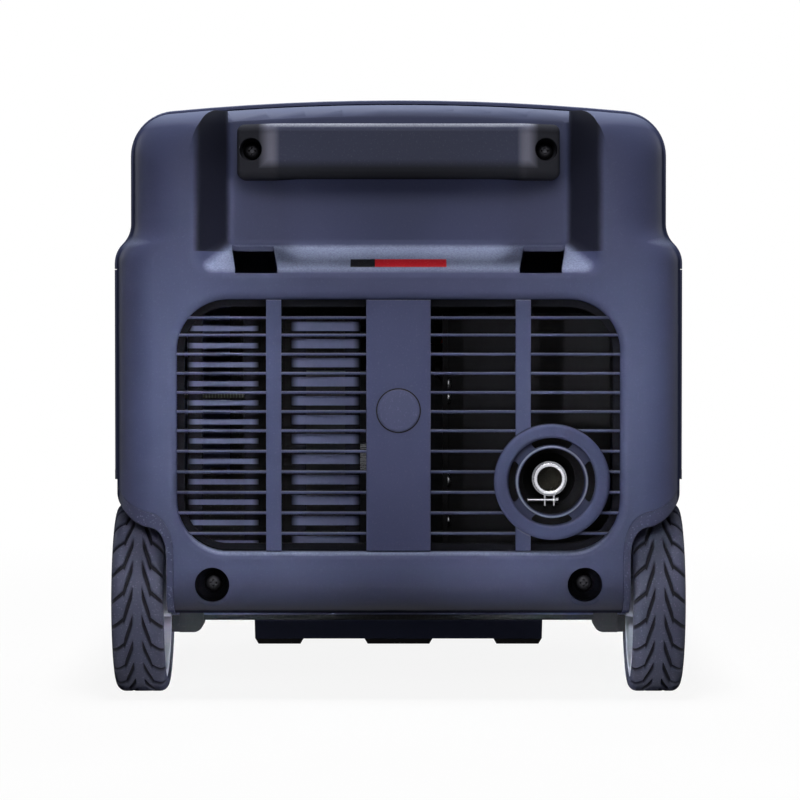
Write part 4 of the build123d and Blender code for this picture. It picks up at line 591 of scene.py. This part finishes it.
heatLook = tones((17, 17, 19), (25, 25, 28), (70, 70, 74), 0.6, metal=0.0, gloss=0.05)
clampLook = tones((176, 177, 184), (200, 201, 208), (230, 230, 236), 0.32)
heatBlack = metalFinish("heatBlack", heatLook)
# near-black tone for painted shade, laid deeper in the grille, at strip ends and under bar edges
grilleLook = mouldedLooks["grille_plastic"] | {"shadeTone": (9, 9, 11), "gloss": 0.03, "fleck": 0.08}
controlGrey = tones((74, 76, 84), (84, 86, 94), (130, 131, 138), 0.38, gloss=0.2)
ownFinish = {  # nodes whose finish differs from the rest of their slot
    "muffler": heatBlack,
    "muffler_shield": heatBlack,
    # painted top light and a painted highlight band on the crown; painted shade on the recess walls, along
    # the bottom and in the screw wells
    "rear_cover": mouldedFinish("rearCoverSkin", mouldedLooks["case_plastic"] | {
        # near-black tone for painted shade on the recess walls and along the bottom
        "grime": (24, 24, 28),
        "crown": {"band": (455.0, 465.5), "radius": 1900.0, "share": 0.42, "dustTop": 400.0},
        "alcove": {"halfWidth": 178.0, "floor": 350.0, "share": 0.85},
        "bottomShade": {"ends": (70.0, 104.0), "share": 0.85},
        "wells": {"radius": 13.9, "deep": (-299.6, -293.0), "share": 0.97, "colour": (8, 8, 9)},
    }),
    # painted highlight before the bar's ends, painted shade on the ends and underside
    "rear_handle": mouldedFinish("liftBarSkin", mouldedLooks["handle_plastic"] | {
        "fleck": 0.06, "worn": (150, 150, 168),
        "barEnds": {
            "pale": (92.0, 99.0), "paleShare": 0.75, "top": (440.0, 448.0),
            "dark": (101.0, 109.0), "under": (414.0, 421.0), "darkShare": 0.92, "colour": (44, 45, 50),
        },
    }),
    # painted shade deeper in the grille, painted highlight and painted shade on the bar edges
    "rear_grille": mouldedFinish("grilleBars", grilleLook | {
        "depth": {"ends": (-293.6, -289.0), "share": 0.97},
        "edgeHighlight": 0.7, "worn": (128, 131, 150), "edge": 1.3 * mm,
    }),
    "axle_brackets": mouldedFinish("bracketBlack", mouldedLooks["foot_rubber"] | {
        "deep": (40, 41, 44), "pale": (48, 49, 53), "gloss": 0.05,
    }),
    "arrester_clamp": metalFinish("clampSteel", clampLook),
    # painted shade deeper in the ring, painted highlight on its front rim
    "exhaust_ring": mouldedFinish("outletRing", grilleLook | {
        "depth": {"ends": (-296.5, -287.0), "share": 0.75},
        "rim": {"radii": (26.7, 28.2), "front": -293.2, "share": 0.85, "colour": (138, 141, 160)},
    }),
    "ac_sockets": mouldedFinish("socketGrey", mouldedLooks["vent_plastic"] | {"gloss": 0.2}),
    "engine_switch": mouldedFinish("knobGrey", controlGrey),
    "eco_rocker": mouldedFinish("rockerGrey", controlGrey),
    "breaker_button": mouldedFinish("breakerGrey", controlGrey | {
        "deep": (120, 121, 126), "pale": (132, 133, 138),
    }),
    # painted shade at the back and at the ends of the strips
    "grille_baffle": mouldedFinish("baffleStrips", grilleLook | {
        "deep": (86, 90, 120), "pale": (94, 98, 128),
        "depth": {"ends": (-278.6, -277.2), "share": 0.95},
        "strips": {"spans": ((-165.0, -109.0), (-84.0, -30.0)), "fade": 6.0},
    }),
}
slotOf = {entry["node"]: entry["material_slot"] for entry in frame["record"]["subparts"]}
for nodeName, slotName in slotOf.items():
    skin = cadNodes[nodeName].data
    skin.materials.clear()
    skin.materials.append(ownFinish.get(nodeName, slotMaterial[slotName]))
print("finishes ready:", len(slotMaterial))


# Growing trees: started with named inputs, closed the same way and turned into plain meshes

def growTree(name, inputs):
    tree = bpy.data.node_groups.new(name, "GeometryNodeTree")
    tree.interface.new_socket("Geometry", in_out="INPUT", socket_type="NodeSocketGeometry")
    for label, kind in inputs.items():
        tree.interface.new_socket(label, in_out="INPUT", socket_type="NodeSocket" + kind)
    tree.interface.new_socket("Geometry", in_out="OUTPUT", socket_type="NodeSocketGeometry")
    return tree, tree.nodes.new("NodeGroupInput").outputs, tree.nodes.new("NodeGroupOutput")


def closeTree(tree, given, target, geometry):  # moved to its centre if it has one, made real and painted
    if "Centre" in given:
        shift = {"Geometry": geometry, "Translation": given["Centre"]}
        geometry = addNode(tree, "GeometryNodeTransform", shift).outputs[0]
    solid = addNode(tree, "GeometryNodeRealizeInstances", {0: geometry}).outputs[0]
    paint = addNode(tree, "GeometryNodeSetMaterial", {"Geometry": solid, "Material": given["Finish"]})
    feed(tree, target, {0: paint.outputs[0]})
    return tree


def pointAxes(tree):
    return axesOf(tree, addNode(tree, "GeometryNodeInputPosition").outputs[0])


def runTree(name, tree, values, seed=None, smooth=True):
    seed = seed or meshPiece(name + "Seed", [(0, 0, 0)], [], values["Finish"])
    modifier = seed.modifiers.new("grow", "NODES")
    modifier.node_group = tree
    for socket in tree.interface.items_tree:
        if socket.in_out == "INPUT" and socket.name in values:
            modifier[socket.identifier] = values[socket.name]
    bpy.context.view_layer.update()
    graph = bpy.context.evaluated_depsgraph_get()
    mesh = bpy.data.meshes.new_from_object(seed.evaluated_get(graph))
    mesh.name = name
    seed.modifiers.remove(modifier)
    bpy.data.objects.remove(seed)
    for polygon in mesh.polygons:
        polygon.use_smooth = smooth
    return addObject(name, mesh)


# Tyres: one pitch of tread follows its groove line, and the tree sets it round the axle

tyreShape = {
    "pitches": 22, "grooveHalf": 1.45, "grooveDepth": 3.4, "edgeRound": 0.7,
    "ribHalf": 3.1, "ribRamp": 1.2, "knee": 10.4, "steepRun": 22.5, "outerRun": 7.6, "outerSpan": 9.0,
    "shoulderRound": 7.0, "sideIn": 0.4, "beadIn": 1.2, "beadTop": 2.2, "beadEdge": 1.4, "boreGap": 0.05,
    "flatStops": 26, "cornerStops": 8, "landStops": 5, "weld": 0.02,
}


def grooveLine(across):  # distance round the tyre at which a groove lies, by distance from the middle rib
    shape = tyreShape
    steep = shape["steepRun"] * min(max(across - shape["ribHalf"], 0) / (shape["knee"] - shape["ribHalf"]), 1)
    return steep + shape["outerRun"] * max(across - shape["knee"], 0) / shape["outerSpan"]


def tyreProfile(halfWidth, outer, bore):  # closed loop of (across, radius, groove share) round the section
    shape = tyreShape
    bend, stops, arcStops = shape["shoulderRound"], shape["flatStops"], shape["cornerStops"]
    flat = halfWidth - bend
    loop = []
    for step in range(-stops, stops + 1):
        across = flat * step / stops
        share = min(max((abs(across) - shape["ribHalf"]) / shape["ribRamp"], 0), 1)
        loop.append((across, outer, share))
    corner = []
    for step in range(1, arcStops + 1):
        turn = math.radians(90 * step / arcStops)
        share = 1 - (step / arcStops) ** 3
        corner.append((flat + bend * math.sin(turn), outer - bend + bend * math.cos(turn), share))
    side = [
        (halfWidth - shape["sideIn"], bore + shape["beadTop"], 0),
        (halfWidth - shape["beadIn"], bore + shape["beadEdge"], 0),
        (halfWidth - shape["beadIn"], bore, 0),
    ]
    mirrored = [(-across, radius, share) for across, radius, share in corner + side]
    return loop + corner + side + mirrored[::-1]


def treadPitch(name, halfWidth, outer, bore, material):
    shape = tyreShape
    pitch = 2 * math.pi * outer / shape["pitches"]
    half, soft, landStops = shape["grooveHalf"], shape["edgeRound"], shape["landStops"]
    cuts = [  # offset and share of the depth, down one wall of the groove and up the other
        (-half - soft, 0.0), (-half - soft * 0.3, 0.12),
        (-half + 0.1, 0.5), (-half + 0.45, 0.92), (-half + 0.9, 1.0),
    ]
    cuts += [(-x, depth) for x, depth in cuts[::-1]]
    loop = tyreProfile(halfWidth, outer, bore)
    nudge = 0.05
    points, sunk = [], []
    for across, radius, share in loop:
        reach = abs(across)
        lean = (grooveLine(reach + nudge) - grooveLine(reach - nudge)) / (2 * nudge)
        widen = math.sqrt(1 + lean * lean) if share > 0 else 1.0
        stations = [(x * widen, depth) for x, depth in cuts]
        spare = pitch - (stations[-1][0] - stations[0][0])
        stations += [(stations[-1][0] + spare * stop / landStops, 0.0) for stop in range(1, landStops + 1)]
        for offset, depth in stations:
            turn = (offset + grooveLine(min(reach, halfWidth))) / outer
            height = radius - depth * share * shape["grooveDepth"]
            points.append((across * mm, -height * math.sin(turn) * mm, height * math.cos(turn) * mm))
            sunk.append(depth * share)
    row = len(cuts) + landStops
    faces = []
    for ring in range(len(loop)):
        here, after = ring * row, (ring + 1) % len(loop) * row
        for step in range(row - 1):
            faces.append((here + step, here + step + 1, after + step + 1, after + step))
    unit = meshPiece(name, points, faces, material)
    unit.data.attributes.new("sunk", "FLOAT", "POINT").data.foreach_set("value", sunk)
    return unit


def makeWheelTree():
    inputs = {"Unit": "Object", "Count": "Int", "Centre": "Vector", "Finish": "Material"}
    tree, given, target = growTree("roundTheAxle", inputs)
    points = addNode(tree, "GeometryNodeMeshLine", {"Count": given["Count"], "Offset": (0, 0, 0)})
    unit = addNode(tree, "GeometryNodeObjectInfo", {"Object": given["Unit"]})
    index = addNode(tree, "GeometryNodeInputIndex").outputs[0]
    turn = mathNode(tree, "DIVIDE", product(tree, index, 2 * math.pi), given["Count"])
    copies = addNode(tree, "GeometryNodeInstanceOnPoints", {
        "Points": points.outputs["Mesh"], "Instance": unit.outputs["Geometry"],
        "Rotation": joinAxes(tree, {"X": turn}),
    })
    solid = addNode(tree, "GeometryNodeRealizeInstances", {0: copies.outputs[0]}).outputs[0]
    weld = addNode(tree, "GeometryNodeMergeByDistance", {0: solid, "Distance": tyreShape["weld"] * mm})
    return closeTree(tree, given, target, weld.outputs[0])


def makeTyres():
    tree, rubber = makeWheelTree(), slotMaterial["tyre"]
    for side in ("left", "right"):
        low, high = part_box("tyre_" + side)
        rimLow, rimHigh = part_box("rim_" + side)
        bore = (rimHigh.z - rimLow.z) / 2 / mm + tyreShape["boreGap"]
        unit = treadPitch("treadUnit", (high.x - low.x) / 2 / mm, (high.z - low.z) / 2 / mm, bore, rubber)
        values = {"Unit": unit, "Count": tyreShape["pitches"], "Centre": (low + high) / 2, "Finish": rubber}
        tyre = runTree("treadTyre." + side, tree, values)
        bpy.data.objects.remove(unit)
        outwardFaces(tyre)
        place(tyre, side + "_wheel", "tyre", "tyre_" + side)


makeTyres()
print("tyres ready")


# Screws: pan heads with a cross recess, set by a tree on their seats

screwShape = {
    "head": 7.0, "dome": 4.0, "edge": 1.2, "shank": 3.0, "shankLong": 6, "sides": 28, "domeStops": 6,
    "slotLong": 8.4, "slotWide": 1.6, "slotDeep": 2.2, "slotTaper": 0.45, "weld": 0.01,
}


def crossBlade(turn):  # one arm of the recess, which narrows towards its floor
    shape = screwShape
    knife = bmesh.new()
    bmesh.ops.create_cube(knife, size=1.0)
    size = Matrix.Diagonal((shape["slotLong"] * mm, shape["slotWide"] * mm, 2 * shape["slotDeep"] * mm, 1))
    bmesh.ops.transform(knife, matrix=size, verts=knife.verts)
    for corner in knife.verts:
        if corner.co.z < 0:
            corner.co.x *= shape["slotTaper"]
    spot = Matrix.Translation((0, 0, shape["dome"] * mm)) @ Matrix.Rotation(turn, 4, "Z")
    bmesh.ops.transform(knife, matrix=spot, verts=knife.verts)
    blade = bpy.data.meshes.new("crossBlade")
    knife.to_mesh(blade)
    knife.free()
    return addObject("crossBlade", blade)


def screwHead(material):  # head points along +Z, its seat at the origin
    shape = screwShape
    radius, edge, shank, foot = shape["head"], shape["edge"], shape["shank"], -shape["shankLong"]
    profile = [(0, foot), (shank, foot), (shank, 0), (radius, 0), (radius, edge)]
    for step in range(1, shape["domeStops"]):
        turn = math.radians(90 * step / shape["domeStops"])
        profile.append((radius * math.cos(turn), edge + (shape["dome"] - edge) * math.sin(turn)))
    profile.append((0, shape["dome"]))
    work = bmesh.new()
    rings = [work.verts.new((across * mm, 0, height * mm)) for across, height in profile]
    edges = [work.edges.new(pair) for pair in zip(rings, rings[1:])]
    bmesh.ops.spin(
        work, geom=rings + edges, cent=(0, 0, 0), axis=(0, 0, 1), angle=2 * math.pi, steps=shape["sides"]
    )
    bmesh.ops.remove_doubles(work, verts=work.verts, dist=shape["weld"] * mm)
    bmesh.ops.recalc_face_normals(work, faces=work.faces)
    mesh = bpy.data.meshes.new("screwHead")
    work.to_mesh(mesh)
    work.free()
    mesh.materials.append(material)
    head = addObject("screwHead", mesh)
    cutters = [crossBlade(turn) for turn in (0, math.pi / 2)]
    for cutter in cutters:
        cut = head.modifiers.new("cross", "BOOLEAN")
        cut.object = cutter
        cut.solver = "EXACT"
    bpy.context.view_layer.update()
    finished = bpy.data.meshes.new_from_object(head.evaluated_get(bpy.context.evaluated_depsgraph_get()))
    head.modifiers.clear()
    head.data = finished
    for cutter in cutters:
        bpy.data.objects.remove(cutter)
    return head


def makeScrewTree():
    tree, given, target = growTree("setScrews", {"Screw": "Object", "Size": "Float", "Finish": "Material"})
    unit = addNode(tree, "GeometryNodeObjectInfo", {"Object": given["Screw"]})
    aim = addNode(tree, "GeometryNodeInputNamedAttribute", {"Name": "aim"}, data_type="FLOAT_VECTOR")
    align = addNode(tree, "FunctionNodeAlignRotationToVector", {"Vector": aim.outputs["Attribute"]}, axis="Z")
    copies = addNode(tree, "GeometryNodeInstanceOnPoints", {
        "Points": given["Geometry"], "Instance": unit.outputs["Geometry"],
        "Rotation": align.outputs[0], "Scale": given["Size"],
    })
    return closeTree(tree, given, target, copies.outputs[0])


screwTree = makeScrewTree()


def setScrews(name, seats, aim, size, slotName, *replaced):  # seats in millimetres, all heads aimed one way
    finish = slotMaterial[slotName]
    unit = screwHead(finish)
    seed = meshPiece(name + "Seed", [[value * mm for value in seat] for seat in seats], [], finish)
    for entry in seed.data.attributes.new("aim", "FLOAT_VECTOR", "POINT").data:
        entry.vector = aim
    piece = runTree(name, screwTree, {"Screw": unit, "Size": size, "Finish": finish}, seed, smooth=False)
    bpy.data.objects.remove(unit)
    place(piece, "root", slotName, *replaced)


endScrews = {"corner": (wellSpot[0], -276.0, wellSpot[1]), "bar": (115.0, -258.3, 429.0), "aim": (0, -1, 0)}
endSeats = [(side * x, y, z) for side in (1, -1) for x, y, z in (endScrews["corner"], endScrews["bar"])]
setScrews("crossHeadScrews", endSeats, endScrews["aim"], 1.0, "screw_steel", "case_screws")

shieldScrews = {
    "x": 39.0, "y": -242.0, "heights": (137.8, 169.5, 235.3, 246.3),
    "size": 0.66, "aim": (1, 0, 0),
}
shieldSeats = [(shieldScrews["x"], shieldScrews["y"], height) for height in shieldScrews["heights"]]
setScrews("shieldFlangeScrews", shieldSeats, shieldScrews["aim"], shieldScrews["size"], "crank_steel")
print("screws ready")


# Blank two-tone strip on the sloped ledge under the lifting bar

ledgeStrip = {
    "left": -37.4, "split": -18.4, "right": 37.4,
    "ledgeFront": 335.0, "ledgeBack": 354.0, "depth": 50.0, "face": -300.0,
    "nearShare": 0.13, "farShare": 0.44, "gap": 0.05, "thick": 0.5, "edge": 0.2, "edgeSteps": 2,
}


def stripSheet(name, left, right, material):
    shape = ledgeStrip
    rise = shape["ledgeBack"] - shape["ledgeFront"]
    points = []
    for lift in (shape["gap"], shape["thick"]):
        for share in (shape["nearShare"], shape["farShare"]):
            for x in (left, right):
                y = shape["face"] + shape["depth"] * share
                z = shape["ledgeFront"] + rise * share + lift
                points.append((x * mm, y * mm, z * mm))
    faces = [(0, 2, 3, 1), (4, 5, 7, 6), (0, 1, 5, 4), (1, 3, 7, 5), (3, 2, 6, 7), (2, 0, 4, 6)]
    piece = meshPiece(name, points, faces, material)
    soften(piece, shape["edge"], shape["edgeSteps"])
    place(piece, "root", "panel_plastic")


stripRed = mouldedFinish("stripRed", tones((172, 26, 34), (186, 32, 40), (214, 120, 120), 0.35, dust=0.0))
stripBlack = mouldedFinish("stripBlack", tones((20, 20, 22), (26, 26, 29), (90, 90, 94), 0.35, dust=0.0))
stripSheet("ledgeStripDark", ledgeStrip["left"], ledgeStrip["split"], stripBlack)
stripSheet("ledgeStripRed", ledgeStrip["split"], ledgeStrip["right"], stripRed)
print("ledge strip ready")


# Turned pieces: a profile of (radius, along) pairs swept round an axis

turning = {"weld": 0.005, "sharpFrom": 38}


def turnedPiece(name, profile, centre, axis, steps, material, closed=False):
    points, faces = [], []
    for radius, along in profile:
        for step in range(steps):
            turn = 2 * math.pi * step / steps
            ring = (radius * math.cos(turn), radius * math.sin(turn))
            spot = (along, ring[0], ring[1]) if axis == "x" else (ring[0], along, ring[1])
            points.append(tuple((base + shift) * mm for base, shift in zip(centre, spot)))
    rows = len(profile)
    for row in range(rows if closed else rows - 1):
        here, after = row * steps, (row + 1) % rows * steps
        for step in range(steps):
            beside = (step + 1) % steps
            faces.append((here + step, here + beside, after + beside, after + step))
    piece = meshPiece(name, points, faces, material)
    outwardFaces(piece, turning["weld"] * mm)
    for polygon in piece.data.polygons:
        polygon.use_smooth = True
    piece.data.set_sharp_from_angle(angle=math.radians(turning["sharpFrom"]))
    return piece


# Blanking cap of the grille: flat disc with a rounded edge on a dark ring, a painted shadow line round the
# cap

blankCap = {
    "centre": (0.0, 0.0, 226.0), "sides": 48,
    "disc": [
        (0, -298.7), (9, -298.65), (14.4, -298.45), (15.5, -298.1), (16.2, -297.5), (16.5, -296.8),
        (16.5, -296.4), (5, -296.4), (5, -284), (0, -284),
    ],
    "shadowRing": [(15.5, -296.4), (17.5, -296.4), (17.5, -296.02), (15.5, -296.02)],
}


def makeBlankCap():
    shape = blankCap
    centre, sides = shape["centre"], shape["sides"]
    disc = turnedPiece("blankCapDisc", shape["disc"], centre, "y", sides, slotMaterial["grille_plastic"])
    place(disc, "root", "grille_plastic", "grille_cap")
    # a dark ring laid round the cap as a painted shadow line
    rubber = slotMaterial["foot_rubber"]
    shadowRing = turnedPiece("blankCapSeal", shape["shadowRing"], centre, "y", sides, rubber, closed=True)
    place(shadowRing, "root", "foot_rubber")


makeBlankCap()
print("blanking cap ready")


# Tail pipe end: rolled bright lip, woven spark screen and the clamp nut

pipeEnd = {
    "centre": (outletAxis[0], 0.0, outletAxis[1]), "lipSides": 56, "cupSides": 40,
    "lip": [
        (9.7, -250.2), (9.7, -251.5), (10.0, -251.9), (11.3, -252.1),
        (12.5, -251.9), (12.85, -251.4), (12.85, -250.2),
    ],
    "cup": [(10.7, -225), (10.7, -244.6), (10.2, -245.0), (9.6, -245.0), (9.6, -226), (0, -226), (0, -225)],
    "screenRadius": 10.0, "screenFace": -244.7, "spacing": 1.6, "wire": 0.6, "wireStops": 61, "wireSides": 5,
    "nut": [(0, 124.4), (2.0, 124.4), (2.6, 124.7), (2.6, 126.5), (2.0, 126.8), (0, 126.8)],
    "nutSeat": (0.0, -244.5, 153.5), "nutSides": 8,
}
brightSteel = metalFinish("brightSteel", tones((196, 197, 204), (214, 215, 222), (236, 236, 240), 0.28))
sootSteel = metalFinish("sootSteel", tones((52, 51, 47), (92, 90, 82), (140, 138, 130), 0.5, lineScale=900.0))


def weaveBranch(tree, given, alongX):  # wires of one direction, cut to the disc, waved over and under
    across, along = ("Z", "X") if alongX else ("X", "Z")
    spacing, radius, wire = given["Spacing"], given["Radius"], given["Wire"]
    line = addNode(tree, "GeometryNodeMeshLine", {
        "Count": mathNode(tree, "ADD", product(tree, given["Reach"], 2), 1),
        "Start Location": joinAxes(tree, {across: product(tree, given["Reach"], -1, spacing)}),
        "Offset": joinAxes(tree, {across: spacing}),
    })
    ends = {"Start": (-1, 0, 0), "End": (1, 0, 0)} if alongX else {"Start": (0, 0, -1), "End": (0, 0, 1)}
    straight = addNode(tree, "GeometryNodeCurvePrimitiveLine", ends).outputs[0]
    fine = addNode(tree, "GeometryNodeResampleCurve", {"Curve": straight, "Count": pipeEnd["wireStops"]})
    here = pointAxes(tree)[across]
    chord = mathNode(tree, "SUBTRACT", product(tree, radius, radius), product(tree, here, here))
    reach = mathNode(tree, "SQRT", mathNode(tree, "MAXIMUM", chord, 1e-9))  # never quite nothing
    copies = addNode(tree, "GeometryNodeInstanceOnPoints", {
        "Points": line.outputs["Mesh"], "Instance": fine.outputs[0],
        "Scale": joinAxes(tree, {along: reach, across: 1.0, "Y": 1.0}),
    })
    loose = addNode(tree, "GeometryNodeRealizeInstances", {0: copies.outputs[0]}).outputs[0]
    after = pointAxes(tree)
    crossings = mathNode(tree, "DIVIDE", mathNode(tree, "ADD", after["X"], after["Z"]), spacing)
    wave = mathNode(tree, "COSINE", product(tree, crossings, math.pi))
    swing = joinAxes(tree, {"Y": product(tree, wave, wire, 0.5 if alongX else -0.5)})
    bend = addNode(tree, "GeometryNodeSetPosition", {"Geometry": loose, "Offset": swing}).outputs[0]
    section = addNode(tree, "GeometryNodeCurvePrimitiveCircle", {
        "Resolution": pipeEnd["wireSides"], "Radius": product(tree, wire, 0.5),
    })
    sweep = {"Curve": bend, "Profile Curve": section.outputs[0], "Fill Caps": True}
    return addNode(tree, "GeometryNodeCurveToMesh", sweep).outputs[0]


def makeScreenTree():
    sizes = {size: "Float" for size in ("Radius", "Spacing", "Wire")}
    inputs = sizes | {"Reach": "Int", "Centre": "Vector", "Finish": "Material"}
    tree, given, target = growTree("wovenScreen", inputs)
    both = addNode(tree, "GeometryNodeJoinGeometry")
    for alongX in (True, False):
        feed(tree, both, {0: weaveBranch(tree, given, alongX)})
    return closeTree(tree, given, target, both.outputs[0])


def makePipeEnd():
    shape = pipeEnd
    centre = shape["centre"]
    lip = turnedPiece("pipeLip", shape["lip"], centre, "y", shape["lipSides"], brightSteel, closed=True)
    place(lip, "root", "exhaust_steel")
    cup = turnedPiece("screenCup", shape["cup"], centre, "y", shape["cupSides"], sootSteel)
    place(cup, "root", "exhaust_steel", "spark_arrester")
    screen = runTree("wovenScreen", makeScreenTree(), {
        "Radius": shape["screenRadius"] * mm, "Spacing": shape["spacing"] * mm, "Wire": shape["wire"] * mm,
        "Reach": int(shape["screenRadius"] / shape["spacing"]),
        "Centre": (outletAxis[0] * mm, shape["screenFace"] * mm, outletAxis[1] * mm), "Finish": sootSteel,
    })
    place(screen, "root", "exhaust_steel")
    nut = turnedPiece("clampNut", shape["nut"], shape["nutSeat"], "x", shape["nutSides"], brightSteel)
    place(nut, "root", "exhaust_steel")


makePipeEnd()
print("pipe end ready")


# Plain pressed pieces under the case: rail along the tray and lugs beside the axle brackets

underPieces = {
    "trayRail": {"low": (-168.0, -238.0, 57.5), "high": (168.0, -228.0, 62.3)},
    "bracketLug.left": {"low": (-180.5, -238.0, 48.0), "high": (-173.4, -212.0, 61.5)},
    "bracketLug.right": {"low": (173.4, -238.0, 48.0), "high": (180.5, -212.0, 61.5)},
}
underEdge = {"width": 1.0, "segments": 3}


def makeBlock(name, low, high, material):
    xs, ys, zs = ([start * mm, end * mm] for start, end in zip(low, high))
    points = [(x, y, z) for x in xs for y in ys for z in zs]
    faces = [(0, 1, 3, 2), (4, 6, 7, 5), (0, 4, 5, 1), (2, 3, 7, 6), (0, 2, 6, 4), (1, 5, 7, 3)]
    block = meshPiece(name, points, faces, material)
    soften(block, underEdge["width"], underEdge["segments"])
    return block


for name, shape in underPieces.items():
    place(makeBlock(name, shape["low"], shape["high"], ownFinish["axle_brackets"]), "root", "arch_liner")
print("under pieces ready")


# Tow grip: round ribs bent about its section, none beside the catch button

gripRibs = {
    "count": 17, "spacing": 10.0, "clear": 24.0, "rib": 1.2,
    "cornerShare": 1 / 3, "cornerStops": 6, "ribSides": 8,
}


def makeRibTree():
    sizes = {size: "Float" for size in ("Spacing", "Clear", "Wide", "Tall", "Corner", "Rib")}
    inputs = {"Count": "Int"} | sizes | {"Centre": "Vector", "Finish": "Material"}
    tree, given, target = growTree("gripRibs", inputs)
    outline = {"Width": given["Tall"], "Height": given["Wide"]}
    flat = addNode(tree, "GeometryNodeCurvePrimitiveQuadrilateral", outline).outputs[0]
    rounding = {"Curve": flat, "Count": gripRibs["cornerStops"], "Radius": given["Corner"]}
    rounded = addNode(tree, "GeometryNodeFilletCurve", rounding, mode="POLY").outputs[0]
    upright = addNode(tree, "GeometryNodeTransform", {"Geometry": rounded, "Rotation": (0, math.pi / 2, 0)})
    section = addNode(tree, "GeometryNodeCurvePrimitiveCircle", {
        "Resolution": gripRibs["ribSides"], "Radius": given["Rib"],
    })
    ring = addNode(tree, "GeometryNodeCurveToMesh", {
        "Curve": upright.outputs[0], "Profile Curve": section.outputs[0],
    })
    half = mathNode(tree, "DIVIDE", mathNode(tree, "SUBTRACT", given["Count"], 1), -2)
    line = addNode(tree, "GeometryNodeMeshLine", {
        "Count": given["Count"],
        "Start Location": joinAxes(tree, {"X": product(tree, half, given["Spacing"])}),
        "Offset": joinAxes(tree, {"X": given["Spacing"]}),
    })
    beside = mathNode(tree, "GREATER_THAN", mathNode(tree, "ABSOLUTE", pointAxes(tree)["X"]), given["Clear"])
    copies = addNode(tree, "GeometryNodeInstanceOnPoints", {
        "Points": line.outputs["Mesh"], "Selection": beside, "Instance": ring.outputs[0],
    })
    return closeTree(tree, given, target, copies.outputs[0])


def makeGripRibs():
    shape = gripRibs
    low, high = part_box("tow_grip")
    wide, tall = high.y - low.y, high.z - low.z
    ribs = runTree("towGripRibs", makeRibTree(), {
        "Count": shape["count"], "Spacing": shape["spacing"] * mm, "Clear": shape["clear"] * mm,
        "Wide": wide, "Tall": tall, "Corner": wide * shape["cornerShare"], "Rib": shape["rib"] * mm,
        "Centre": (low + high) / 2, "Finish": slotMaterial[slotOf["tow_grip"]],
    })
    outwardFaces(ribs)
    place(ribs, "tow", slotOf["tow_grip"])


makeGripRibs()
print("tow grip ready")


# Starter rope: a tube from inside the reel housing at one end out to the grip at the other

ropeShape = {"start": -30.0, "end": -211.5, "radius": 2.4, "sides": 10, "steps": 60, "y": 151.0, "z": 225.0}


def makeRope():
    shape = ropeShape
    start, steps = shape["start"], shape["steps"]
    span = shape["end"] - start
    profile = [(0, start)]
    profile += [(shape["radius"], start + span * step / steps) for step in range(steps + 1)]
    profile.append((0, shape["end"]))
    centre, braid = (0, shape["y"], shape["z"]), slotMaterial["starter_rope"]
    rope = turnedPiece("starterRope", profile, centre, "x", shape["sides"], braid)
    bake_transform(rope)
    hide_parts("recoil_rope")


makeRope()
print("starter rope ready")
